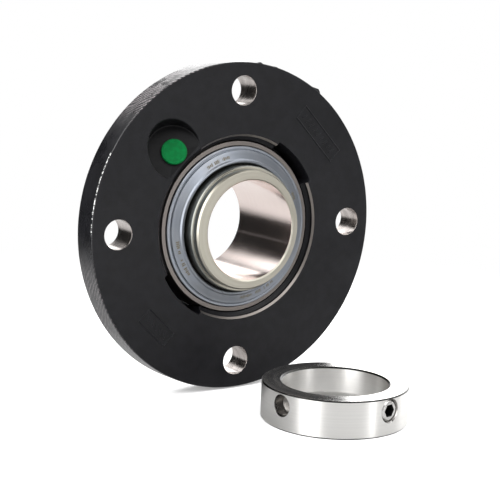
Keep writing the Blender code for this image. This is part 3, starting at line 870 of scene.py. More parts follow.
class Palette:
    """Every finish of the unit, built once."""

    def __init__(self, effects: Effects, collar_centre: Vector) -> None:
        """Build the materials.

        Args:
            effects: the shared shader groups.
            collar_centre: the middle of the collar, which its tool marks run about.
        """
        about_collar = {"centre": tuple(collar_centre), "turn": (0.0, 0.0, 0.0)}
        bands = (InkBand(101, 108, 0.95), InkBand(111, 123, 0.95), InkBand(-172, -160, 0.9),
                 InkBand(-157, -142, 0.9), InkBand(-87, -75, 0.9), InkBand(-72, -66, 0.9),
                 InkBand(-63, -53, 0.8), InkBand(21, 28, 1.0))
        self.paint = CastPaint("black_paint", (0.0052, 0.0052, 0.0066), 0.42).build(effects)
        # Darker, duller paint for the grease pocket: painted shade of the recess.
        self.shade = CastPaint("pocket_painted_shade", (0.0035, 0.0035, 0.004), 0.42,
                               shine=0.14).build(effects)
        self.rim_paint = CastPaint("rim_paint", (0.008, 0.008, 0.0095), 0.26, grain=650.0,
                                   depth=0.06 * MM,
                                   shine=0.5, marks=0.16 * MM).build(effects)
        # Near-black, dull finish for the set screw's hexagon socket: painted shade in the socket.
        self.socket_shade = CastPaint("socket_painted_shade", (0.004, 0.004, 0.004), 0.5, depth=0.01 * MM,
                               shine=0.1).build(effects)
        self.drilled = MachinedSteel("drilled_iron", (0.52, 0.48, 0.46), 0.2, frequency=1500.0,
                                     depth=0.008 * MM).build(effects)
        self.bare_iron = MachinedSteel("bare_iron", (0.26, 0.235, 0.22), 0.3, frequency=1500.0,
                                       depth=0.01 * MM).build(effects)
        self.ground = MachinedSteel("ground_steel", (0.19, 0.17, 0.16), 0.3,
                                    frequency=2200.0).build(effects)
        # Darker steel for the inner ring's land beside the nose: painted dark reflection.
        self.land = MachinedSteel("land_painted_dark_reflection", (0.22, 0.225, 0.205), 0.3,
                                  frequency=2200.0).build(effects)
        self.nose = MachinedSteel("nose_steel", (0.40, 0.38, 0.325), 0.3,
                                  frequency=1800.0).build(effects)
        self.bore = MachinedSteel("honed_bore", (0.82, 0.71, 0.67), 0.16, frequency=2600.0,
                                  depth=0.0012 * MM,
                                  contrast=0.02, smear=0.03).build(effects)
        self.chrome = MachinedSteel("ball_steel", (0.74, 0.74, 0.75), 0.1, frequency=900.0,
                                    depth=0.0004 * MM,
                                    contrast=0.03, smear=0.03).build(effects)
        self.collar = MachinedSteel("turned_collar", (0.78, 0.77, 0.75), 0.34, frequency=5200.0,
                                    depth=0.0004 * MM,
                                    contrast=0.02, smear=0.02, brushed=0.9,
                                    **about_collar).build(effects)
        self.faced = MachinedSteel("faced_collar", (0.74, 0.73, 0.71), 0.2, frequency=400.0,
                                   depth=0.0,
                                   contrast=0.03, smear=0.02, **about_collar).build(effects)
        # Near-black steel for the collar's chamfers: painted dark reflection on its edges.
        self.edge = MachinedSteel("chamfer_painted_dark_reflection", (0.02, 0.02, 0.019), 0.3, frequency=900.0,
                                  depth=0.0,
                                  contrast=0.03, smear=0.0, **about_collar).build(effects)
        self.drill_wall = MachinedSteel("drilled_collar", (0.30, 0.29, 0.28), 0.22,
                                        frequency=1500.0,
                                        depth=0.002 * MM, **about_collar).build(effects)
        # Near-white grains along the flange's front edge: painted glints.
        self.sand = Moulded("grit_painted_glint", (0.9, 0.9, 0.88), 0.3, shine=0.6).build(effects)
        self.screw = MachinedSteel("screw_steel", (0.62, 0.61, 0.60), 0.2, frequency=1200.0,
                                   depth=0.003 * MM,
                                   **about_collar).build(effects)
        self.zinc = ZincPlate("zinc_plate", (0.245, 0.265, 0.30), 0.3, bands=bands).build(effects)
        self.rubber = Moulded("seal_rubber", (0.012, 0.012, 0.013), 0.6).build(effects)
        self.nylon = Moulded("cage_nylon", (0.60, 0.53, 0.38), 0.45, grain=900.0).build(effects)
        self.green = Moulded("green_plastic", (0.0005, 0.118, 0.028), 0.6, grain=2200.0,
                             spread=0.14,
                             shine=0.08).build(effects)


# ---------------------------------------------------------------------------------------------
# Sub-assemblies
# ---------------------------------------------------------------------------------------------

@dataclass
class Workshop:
    """What every sub-assembly is built with."""

    trees: GrowTrees
    palette: Palette
    shelf: PieceShelf


@dataclass
class SubAssembly:
    """A part of the unit that is built in the workshop."""

    shop: Workshop

    @property
    def palette(self) -> Palette:
        """The finishes."""
        return self.shop.palette

    def turned(self, outline: Sequence[Place], sides: Fineness, material: Material | None = None,
               matrix: Matrix = SHAFT_TURN, closed: bool = True) -> Mesh:
        """Turn an outline into a solid of revolution.

        Args:
            outline: (radius, height) points; an open outline starts and ends on the axis.
            sides: how many sides it gets.
            material: its finish, or None for a cutter.
            matrix: where it goes; the lathe's axis is +Z.
            closed: whether the outline is closed.

        Returns:
            The mesh, in place.
        """
        wire = bpy.data.meshes.new("outline")
        joins = [(number, number + 1) for number in range(len(outline) - 1)]
        if closed:
            joins.append((len(outline) - 1, 0))
        wire.from_pydata([(radius, height, 0.0) for radius, height in outline], joins, [])
        mesh = grow(self.shop.trees.lathe, wire, Sides=sides.value, Rail=RAIL, Finish=material)
        mesh.transform(matrix)
        return tidy(mesh)


@dataclass(frozen=True)
class Nub:
    """A nub of flash on a cast rim: its place, its height and how far it runs to each side."""

    degrees: float
    height: float
    below: float
    above: float

    def rise(self, degrees: float) -> float:
        """How far the nub stands out at an angle."""
        apart = degrees - self.degrees
        return self.height * max(0.0, 1 - abs(apart) / (self.above if apart > 0 else self.below))


@dataclass(frozen=True)
class Grit:
    """Near-white grains along the front edge of the flange, as painted glints, from one angle to another
    in degrees.
    """

    start: float = 152.0
    end: float = 180.0
    count: int = 150
    seed: int = 7
    grain: float = 0.44 * MM
    scatter: float = 0.05 * MM
    inset: float = 0.25 * MM             # from the rim of the front face
    sunk: float = 0.5 * MM               # behind the front face


@dataclass
class Housing(SubAssembly):
    """The painted cast flange with its machined seat, its holes and its cast marks."""

    thickness: float = 14.2 * MM
    draft: float = 0.6 * MM
    edge: float = 1.4 * MM
    spigot_radius: float = 52.0 * MM
    mouth_radius: float = 45.9 * MM
    mouth_depth: float = 2.3 * MM
    chamfer: float = 1.0 * MM
    seat_radius: float = 45.3 * MM
    seat_half_width: float = 10.6 * MM
    hole_circle: float = 68.5 * MM
    hole_radius: float = 7.25 * MM
    hole_edge: float = 0.2 * MM
    slot_radius: float = 48.3 * MM
    slot_half_angle: float = 17.5
    slot_floor: float = 0.0
    plaque_radius: float = 66.2 * MM
    grit: Grit = Grit()

    def __post_init__(self) -> None:
        """Take the rim and the spigot's end from the frame."""
        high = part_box("flange_housing")[1]
        self.rim = high.x
        self.back = high.y
        self.front = -self.thickness

    def build(self) -> None:
        """Build the casting, its raised frames and its gritty edge."""
        mesh = self._blank()
        tools = [self._bolt_hole(number) for number in range(4)]
        tools += [self._slot(45.0), self._slot(225.0)]
        grease = GreasePoint(self.shop, self.front)
        mesh = carve(mesh, tools + [grease.cutter()])
        self._roughen(mesh)
        self._dress(mesh)
        # The grease pocket's faces take the darker paint: painted shade in the recess.
        paint_faces(mesh, self.palette.shade, lambda c, n: grease.holds(c))
        self.shop.shelf.put("flange_casting", mesh, "housing", Slot.PAINT, ["flange_housing"])
        for name, degrees, length, marks, lean in (
                ("upper", 45.0, 33.0 * MM, 9, 0.45), ("lower", 225.0, 20.0 * MM, 5, -0.5)):
            self._plaque(name, degrees, length, 9.0 * MM, marks, lean)
        self._edge_grit()

    def _blank(self) -> Mesh:
        """Turn the casting's outline."""
        front, rim, mouth = self.front, self.rim, self.mouth_radius
        turn = math.degrees(math.asin(self.seat_half_width / self.seat_radius))
        seat_edge = self.seat_radius * math.cos(math.radians(turn))
        shoulder = rim - self.draft
        corners = [(mouth + self.chamfer, front, 0.12 * MM), (shoulder, front, self.edge)]
        rows = 12
        for row in range(1, rows + 1):
            share = row / (rows + 1)
            corners.append((shoulder + self.draft * share,
                            front + (self.thickness - 0.8 * MM) * share, 0.0))
        corners += [
            (rim, -0.8 * MM, 0.0), (rim - 0.6 * MM, 0.0, 0.1 * MM),
            (self.spigot_radius, 0.0, 0.5 * MM),
            (self.spigot_radius, self.back - 1.2 * MM, 0.1 * MM),
            (self.spigot_radius - 1.2 * MM, self.back, 0.1 * MM), (mouth, self.back, 0.3 * MM),
            (seat_edge, self.seat_half_width, 0.0)]
        outline = rounded(corners)
        outline += arc((0.0, 0.0), self.seat_radius, turn, -turn, 12)[1:]
        outline += rounded([
            (mouth - 0.4 * MM, front + self.mouth_depth + 0.4 * MM, 0.0),
            (mouth, front + self.mouth_depth, 0.0),
            (mouth, front + self.chamfer, 0.0)], closed=False)
        return self.turned(outline, Fineness.LARGE, self.palette.paint)

    def _bolt_hole(self, number: int) -> Mesh:
        """Cutter of one bolt hole."""
        outline = drill(self.hole_radius, self.front, 0.0, self.hole_edge)
        place = Matrix.Translation(radial(90.0 * number + 0.01) * self.hole_circle) @ SHAFT_TURN
        return self.turned(outline, Fineness.HOLE, None, place, closed=False)

    def _slot(self, degrees: float) -> Mesh:
        """Cutter of one loading slot: a sector of the mouth with rounded corners and edges."""
        edge, corner = 0.3 * MM, 1.1 * MM
        levels = [(edge, -1.0 * MM)] + quarter(edge) + [(0.0, self.slot_floor - self.front)]
        rings = []
        for out, deep in levels:
            wide = self.slot_radius + out
            half = self.slot_half_angle + math.degrees(out / wide)
            bend = math.degrees(corner / wide)
            steps = [half - bend * (1 - math.sin(math.radians(90 * step / 4))) for step in range(5)]
            # The corner's radii fall away as its angle nears the slot's end.
            ends = [(wide - corner * (1 - math.cos(math.radians(90 * step / 4))), steps[step])
                    for step in range(5)]
            along = [(wide, -(half - bend) + (half - bend) * 2 * step / 16)
                     for step in range(1, 16)]
            outer = [(r, -a) for r, a in reversed(ends)] + along + ends
            inner = [(self.seat_radius - 3 * MM, half * (1 - step / 4)) for step in range(9)]
            rings.append([radial(degrees + a) * r + Vector((0.0, self.front + deep, 0.0))
                          for r, a in outer + inner])
        return loft(rings)

    def _roughen(self, mesh: Mesh) -> None:
        """Give the rim its cast skin: shallow waves and three nubs of flash along the front edge."""
        nubs = (Nub(83.7, 0.9 * MM, 1.1, 1.1), Nub(77.0, 0.3 * MM, 1.2, 1.2),
                Nub(56.2, 1.5 * MM, 0.9, 3.2))
        inner = self.rim - self.draft - 0.2 * MM
        for vert in mesh.vertices:
            radius = math.hypot(vert.co.x, vert.co.z)
            if radius < inner or vert.co.y > -0.5 * MM:
                continue
            angle = math.atan2(vert.co.z, vert.co.x)
            wave = noise.noise(Vector((vert.co.x, vert.co.y * 2, vert.co.z)) / (5 * MM))
            cut = 0.06 * MM * (wave - 1)
            front = max(0.0, min(1.0, (self.front + 6 * MM - vert.co.y) / (5 * MM)))
            cut += front * max(nub.rise(math.degrees(angle)) for nub in nubs)
            push = (radius + cut) / radius
            vert.co.x *= push
            vert.co.z *= push

    def _dress(self, mesh: Mesh) -> None:
        """Leave the drilled faces and the machined chamfer and mounting face bare, and the rim in its
        rougher paint. The machined mouth wall and seat keep the black paint: painted shade of the gap
        round the outer ring.
        """
        reach = self.hole_radius + 0.4 * self.hole_edge
        axes = [radial(90.0 * number) * self.hole_circle for number in range(4)]

        def drilled(centre: Vector, normal: Vector) -> bool:
            """In a bolt hole, inside its painted edge."""
            flat = Vector((centre.x, 0.0, centre.z))
            return abs(normal.y) < 0.9 and any((flat - axis).length < reach for axis in axes)

        def machined(centre: Vector, normal: Vector) -> bool:
            """On the mouth's chamfer, outside the loading slots, or on the mounting face."""
            radius = math.hypot(centre.x, centre.z)
            aside = abs((math.degrees(math.atan2(centre.z, centre.x)) - 45.0 + 90.0) % 180.0 - 90.0)
            # The mouth's wall and seat are left out, so they keep the black paint as painted shade.
            chamfer = radius < self.mouth_radius + self.chamfer and centre.y < self.front + self.chamfer
            mounting = centre.y > -0.3 * MM and self.mouth_radius < radius < self.rim - 0.8 * MM
            return (chamfer and aside > self.slot_half_angle) or mounting

        palette = self.palette
        paint_faces(mesh, palette.bare_iron, machined)
        paint_faces(mesh, palette.drilled, drilled)
        paint_faces(mesh, palette.rim_paint,
                    lambda c, n: math.hypot(c.x, c.z) > self.rim - self.draft - 0.9 * MM
                    and c.y < -0.9 * MM)

    def _plaque(self, name: str, degrees: float, length: float, width: float, marks: int,
                lean: float) -> None:
        """A low raised frame that holds a row of plain cast bars."""
        outwards = radial(degrees)
        across = Vector((0.0, -1.0, 0.0)).cross(outwards)
        turn = Matrix((across, outwards, Vector((0.0, -1.0, 0.0)))).transposed().to_4x4()
        centre = outwards * self.plaque_radius + Vector((0.0, self.front, 0.0))
        place = Matrix.Translation(centre) @ turn
        section = ((0.0, -0.2), (0.1, 0.12), (0.28, 0.3), (0.45, 0.36), (0.62, 0.3), (0.8, 0.12),
                   (0.9, -0.2))
        rings = []
        for inset, height in section:
            x, y = length / 2 - inset * MM, width / 2 - inset * MM
            rings.append([Vector((sx * x, sy * y, height * MM))
                          for sx, sy in ((1, 1), (-1, 1), (-1, -1), (1, -1))])
        rim = loft(rings, looped=True)
        rim.materials.append(self.palette.paint)
        bar = self._bar(1.0 * MM, width * 0.44, 0.3 * MM)
        step = (length - 4.5 * MM) / marks
        row = grow(self.shop.trees.row, bar, Count=marks, Step=step, Lean=lean, Seed=marks,
                   Finish=self.palette.paint)
        for mesh, label in ((rim, "frame"), (tidy(row), "bars")):
            mesh.transform(place)
            self.shop.shelf.put(f"cast_{label}_{name}", mesh, "housing", Slot.PAINT)

    @staticmethod
    def _bar(width: float, length: float, height: float) -> Mesh:
        """A low bar with rounded ends and shoulders, sunk a little below its foot."""
        rings = []
        for share, level in ((1.0, -0.5), (0.95, 0.35), (0.75, 0.8), (0.4, 1.0)):
            half, straight = width / 2 * share, (length - width) / 2
            ring = []
            for step in range(16):
                turn = FULL_TURN * (step + 0.5) / 16
                end = math.copysign(straight, math.sin(turn))
                ring.append(Vector((half * math.cos(turn), end + half * math.sin(turn),
                                    height * level)))
            rings.append(ring)
        return loft(rings)

    def _edge_grit(self) -> None:
        """Fine near-white grains along the upper left of the front edge, as painted glints."""
        blank = bpy.data.meshes.new("blank")
        blank.materials.append(self.palette.sand)
        grit = self.grit
        grains = grow(self.shop.trees.grit, blank, Count=grit.count, From=math.radians(grit.start),
                      To=math.radians(grit.end), Radius=self.rim - self.draft - grit.inset,
                      Height=self.front + grit.sunk, Grain=grit.grain, Scatter=grit.scatter,
                      Seed=grit.seed, Finish=self.palette.sand)
        self.shop.shelf.put("edge_grit", grains, "housing", Slot.PAINT, weighted=False)


@dataclass
class GreasePoint(SubAssembly):
    """The spot face, socket and duct of the relubrication hole, and the plug that closes it."""

    front: float
    degrees: float = 134.5
    tilt: float = 30.0
    face_radius: float = 55.4 * MM
    pocket_radius: float = 13.8 * MM
    pocket_depth: float = 3.9 * MM
    socket_radius: float = 4.2 * MM
    socket_depth: float = 7.0 * MM
    duct_radius: float = 1.8 * MM
    duct_length: float = 17.0 * MM
    head_radius: float = 6.3 * MM
    head_height: float = 1.6 * MM
    stem_length: float = 6.0 * MM
    gap: float = 0.3 * MM

    def __post_init__(self) -> None:
        """Work out the hole's own frame: its origin on the pocket's floor, +Z out of the hole."""
        outwards = radial(self.degrees)
        lean = math.radians(self.tilt)
        self.way_out = outwards * math.sin(lean) - Vector((0.0, math.cos(lean), 0.0))
        mouth = outwards * self.face_radius + Vector((0.0, self.front, 0.0))
        floor = mouth - self.way_out * self.pocket_depth
        turn = self.way_out.to_track_quat("Z", "Y").to_matrix().to_4x4()
        self.place = Matrix.Translation(floor) @ turn

    def holds(self, point: Vector) -> bool:
        """Whether a point lies in the pocket, below its rounded edge."""
        local = self.place.inverted() @ point
        return (local.xy.length < self.pocket_radius + 0.1 * MM
                and point.y > self.front + 0.3 * MM and abs(local.z) < 9 * MM)

    def cutter(self) -> Mesh:
        """Cutter of the whole hole, with a rounded upper edge where its wall meets the face."""
        foot, lip, over = 0.9 * MM, 0.8 * MM, 30 * MM
        column = [(self.duct_radius, -self.duct_length), (self.duct_radius, -self.socket_depth),
                  (self.socket_radius, -self.socket_depth), (self.socket_radius, -0.3 * MM),
                  (self.socket_radius + 0.3 * MM, 0.0)]
        column += arc((self.pocket_radius - foot, foot), foot, -90, 0, 5)
        sides = 144
        rings: list[list[Vector]] = [[] for _ in range(len(column) + 7)]
        for side in range(sides):
            turn = FULL_TURN * side / sides
            spoke = Vector((math.cos(turn), math.sin(turn), 0.0))
            for ring, (radius, height) in zip(rings, column):
                ring.append(self.place @ (spoke * radius + Vector((0.0, 0.0, height))))
            wall = self.place @ (spoke * self.pocket_radius)
            reach = (self.front - wall.y) / self.way_out.y
            edge = min(lip, max(0.0, (reach - foot) * 0.7))
            out = self.place.to_3x3() @ spoke
            out = Vector((out.x, 0.0, out.z)).normalized()
            top = wall + self.way_out * max(reach, foot + 0.02 * MM)
            start, end = top - self.way_out * edge, top + out * edge + Vector((0.0, -0.01 * MM, 0.0))
            for step in range(6):
                share = step / 5
                bend = start.lerp(top, share).lerp(top.lerp(end, share), share)
                rings[len(column) + step].append(bend)
            rings[-1].append(end + self.way_out * over)
        return loft(rings)

    def build(self) -> None:
        """Build the plug: a dished head on a stem with two sealing rings."""
        low, top = self.gap - self.stem_length, self.gap + self.head_height
        stem, head = self.socket_radius - self.gap, self.head_radius
        corners = [(0.0, low, 0.0), (stem - 0.7 * MM, low, 0.1 * MM),
                   (stem - 0.2 * MM, low + 1.0 * MM, 0.1 * MM)]
        for number in range(2):
            ring = low + (1.8 + 1.6 * number) * MM
            corners += [(stem - 0.25 * MM, ring, 0.05 * MM), (stem, ring + 0.35 * MM, 0.1 * MM),
                        (stem - 0.25 * MM, ring + 0.7 * MM, 0.05 * MM)]
        corners += [(stem - 0.25 * MM, self.gap, 0.1 * MM), (head, self.gap, 0.15 * MM),
                    (head, top, 0.45 * MM),
                    (head - 1.0 * MM, top, 0.1 * MM), (head - 1.5 * MM, top - 0.12 * MM, 0.2 * MM),
                    (0.0, top - 0.12 * MM, 0.0)]
        mesh = self.turned(rounded(corners, closed=False), Fineness.HOLE, self.palette.green,
                      self.place, closed=False)
        self.shop.shelf.put("grease_plug_moulding", mesh, "plug", Slot.PLUG, ["grease_plug"])


@dataclass
class OuterRing(SubAssembly):
    """The outer ring of the insert, ball-shaped outside."""

    radius: float = 45.0 * MM
    half_width: float = 11.0 * MM
    chamfer: float = 0.6 * MM
    land: float = 39.0 * MM
    recess: float = 41.15 * MM
    shoulder: float = 8.6 * MM
    pitch: float = 35.0 * MM
    race: float = 6.65 * MM
    hole_radius: float = 1.25 * MM
    hole_y: float = 7.0 * MM
    hole_angle: float = 134.5

    def build(self) -> None:
        """Turn the ring and drill its lubrication hole."""
        width, cham = self.half_width, self.chamfer
        turn = math.degrees(math.asin((width - cham) / self.radius))
        face = self.radius * math.cos(math.radians(turn)) - cham
        race = math.degrees(math.acos((self.land - self.pitch) / self.race))
        outline = arc((0.0, 0.0), self.radius, -turn, turn, 16)
        outline += rounded([
            (self.radius * math.cos(math.radians(turn)), width - cham, 0.0),
            (face, width, 0.1 * MM),
            (self.recess, width, 0.15 * MM), (self.recess, self.shoulder, 0.2 * MM),
            (self.land, self.shoulder, 0.15 * MM), (self.land, 0.0, 0.0)], closed=False)[1:-1]
        outline += arc((self.pitch, 0.0), self.race, race, -race, 18)
        outline += rounded([
            (self.land, 0.0, 0.0), (self.land, -self.shoulder, 0.15 * MM),
            (self.recess, -self.shoulder, 0.2 * MM),
            (self.recess, -width, 0.15 * MM), (face, -width, 0.1 * MM),
            (self.radius * math.cos(math.radians(turn)), cham - width, 0.0)], closed=False)[1:-1]
        mesh = self.turned(outline, Fineness.RING, self.palette.ground)
        tilt = radial(self.hole_angle).to_track_quat("Z", "Y").to_matrix().to_4x4()
        place = Matrix.Translation((0.0, self.hole_y, 0.0)) @ tilt
        tool = self.turned([(0.0, 36 * MM), (self.hole_radius, 36 * MM),
                            (self.hole_radius, 48 * MM),
                                        (0.0, 48 * MM)], Fineness.SMALL, None, place, closed=False)
        mesh = carve(mesh, [tool])
        self.shop.shelf.put("insert_outer_ring", mesh, "outer_ring_unit", Slot.RING, ["outer_ring"])


@dataclass
class Seal(SubAssembly):
    """One end's seal: a pressed cover, a rubber lip and a backing washer."""

    end: str

    def build(self) -> None:
        """Turn the three parts; heights are distances from the bearing's centre plane."""
        cover = [(40.85, 9.3, 0), (40.85, 12.0, 0.25), (40.45, 12.35, 0.2), (39.5, 12.35, 0.15),
                 (39.2, 12.05, 0.15),
                 (38.95, 12.1, 0.1), (38.85, 13.1, 0.3), (34.7, 13.85, 0.2), (34.0, 14.6, 0.15),
                 (33.3, 14.75, 0.25),
                 (32.75, 14.55, 0.25), (32.75, 13.8, 0.1), (33.4, 13.75, 0.1), (38.3, 12.55, 0.2),
                 (38.5, 11.6, 0.2), (40.15, 11.45, 0.2), (40.15, 9.3, 0)]
        lip = [(39.8, 10.1, 0.1), (39.8, 11.1, 0.1), (38.0, 11.25, 0.3), (33.2, 12.9, 0.3),
               (31.95, 13.2, 0.15),
               (31.95, 12.2, 0.15), (33.4, 11.7, 0.3), (37.8, 10.2, 0.3)]
        backing = [(39.8, 8.9, 0.1), (39.8, 9.8, 0.1), (37.8, 9.9, 0.3), (33.0, 10.9, 0.2),
                   (33.0, 10.1, 0.1),
                   (37.6, 9.1, 0.3)]
        palette, side = self.palette, -1 if self.end == "front" else 1
        for part, corners, finish, slot in (("cover", cover, palette.zinc, Slot.ZINC),
                                            ("lip", lip, palette.rubber, Slot.RUBBER),
                                            ("backing", backing, palette.zinc, Slot.ZINC)):
            outline = rounded([(r * MM, side * y * MM, size * MM) for r, y, size in corners])
            mesh = self.turned(outline, Fineness.RING, finish)
            self.shop.shelf.put(f"{self.end}_{part}_pressing", mesh, "outer_ring_unit", slot,
                                [f"{self.end}_seal_{part}"])


@dataclass
class InnerRing(SubAssembly):
    """The wide inner ring with its honed bore and the eccentric cam on its nose."""

    bore: float = 25.0 * MM
    land: float = 31.6 * MM
    cam_radius: float = 30.0 * MM
    cam_length: float = 5.0 * MM
    cam_offset: float = 1.15 * MM
    cam_angle: float = 170.0
    pitch: float = 35.0 * MM
    race: float = 6.65 * MM

    def build(self) -> None:
        """Turn the ring, shift its cam off centre and dress its bore."""
        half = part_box("inner_ring")[1].y
        cam_y = self.cam_length - half
        race = math.degrees(math.acos((self.pitch - self.land) / self.race))
        corners = [(self.bore, 0.0, 0.0), (self.bore, -half + 0.7 * MM, 0.1 * MM),
                   (self.bore + 0.7 * MM, -half, 0.15 * MM),
                   (self.cam_radius - 0.7 * MM, -half, 0.2 * MM),
                   (self.cam_radius, -half + 1.1 * MM, 0.2 * MM),
                   (self.cam_radius, cam_y - 1.0 * MM, 0.05 * MM),
                   (self.cam_radius - 0.35 * MM, cam_y - 0.7 * MM, 0.1 * MM),
                   (self.cam_radius - 0.35 * MM, cam_y, 0.15 * MM),
                   (self.land - 0.5 * MM, cam_y, 0.1 * MM),
                   (self.land, cam_y + 0.6 * MM, 0.15 * MM), (self.land, 0.0, 0.0)]
        outline = rounded(corners, closed=False)[:-1]
        outline += arc((self.pitch, 0.0), self.race, 180 + race, 180 - race, 18)
        outline += rounded([(self.land, 0.0, 0.0), (self.land, half - 1.0 * MM, 0.2 * MM),
                            (self.land - 1.0 * MM, half, 0.2 * MM),
                            (self.bore + 0.7 * MM, half, 0.15 * MM),
                            (self.bore, half - 0.7 * MM, 0.1 * MM),
                            (self.bore, 0.0, 0.0)], closed=False)[1:-1]
        mesh = self.turned(outline, Fineness.RING, self.palette.ground)
        shift = radial(self.cam_angle) * self.cam_offset
        inside = self.cam_radius - 1.2 * MM
        for vert in mesh.vertices:
            radius = math.hypot(vert.co.x, vert.co.z)
            if vert.co.y < cam_y + 0.02 * MM and inside < radius < self.cam_radius + 0.1 * MM:
                vert.co += shift
        paint_faces(mesh, self.palette.nose, lambda c, n: c.y < cam_y + 0.1 * MM and n.y < -0.3)
        # The front half's outer faces, apart from the nose's face, take the darker steel: painted dark
        # reflection.
        paint_faces(mesh, self.palette.land,
                    lambda c, n: c.y < 0 and math.hypot(c.x, c.z) > self.bore + MM
                    and (n.y >= -0.3 or c.y > cam_y + 0.1 * MM))
        paint_faces(mesh, self.palette.bore,
                    lambda c, n: math.hypot(c.x, c.z) < self.bore + 0.05 * MM)
        self.shop.shelf.put("insert_inner_ring", mesh, "inner_ring_unit", Slot.RING, ["inner_ring"])


@dataclass
class BallSet(SubAssembly):
    """The balls and the moulded cage that spaces them."""

    count: int = 10
    radius: float = 6.35 * MM
    pitch: float = 35.0 * MM
    cage_radii: Place = (33.5 * MM, 36.5 * MM)
    cage_half_width: float = 7.9 * MM
    pocket: float = 6.65 * MM

    def build(self) -> None:
        """Build the cage and then each ball on its own body."""
        inner, outer = self.cage_radii
        width, soft = self.cage_half_width, 0.4 * MM
        outline = rounded([(inner, -width, soft), (outer, -width, soft), (outer, width, soft),
                           (inner, width, soft)])
        cage = self.turned(outline, Fineness.RING, self.palette.nylon)
        tools = []
        for number in range(self.count):
            tilt = self._spoke(number).to_track_quat("Z", "Y").to_matrix().to_4x4()
            tool = [(0.0, 30 * MM), (self.pocket, 30 * MM), (self.pocket, 40 * MM), (0.0, 40 * MM)]
            tools.append(self.turned(tool, Fineness.SMALL, None, tilt, closed=False))
        cage = carve(cage, [joined(tools)])
        self.shop.shelf.put("moulded_cage", cage, "cage_unit", Slot.CAGE, ["cage"])
        outline = arc((0.0, 0.0), self.radius, -90, 90, 32)
        outline[0], outline[-1] = (0.0, -self.radius), (0.0, self.radius)
        for number in range(self.count):
            place = Matrix.Translation(self._spoke(number) * self.pitch) @ SHAFT_TURN
            mesh = self.turned(outline, Fineness.SMALL, self.palette.chrome, place, closed=False)
            name = f"ball_{number + 1:02d}"
            self.shop.shelf.put(f"rolling_{name}", mesh, f"{name}_unit", Slot.BALL, [name],
                                weighted=False)

    def _spoke(self, number: int) -> Vector:
        """Direction of a ball from the shaft axis."""
        return radial(90.0 + 360.0 * number / self.count)


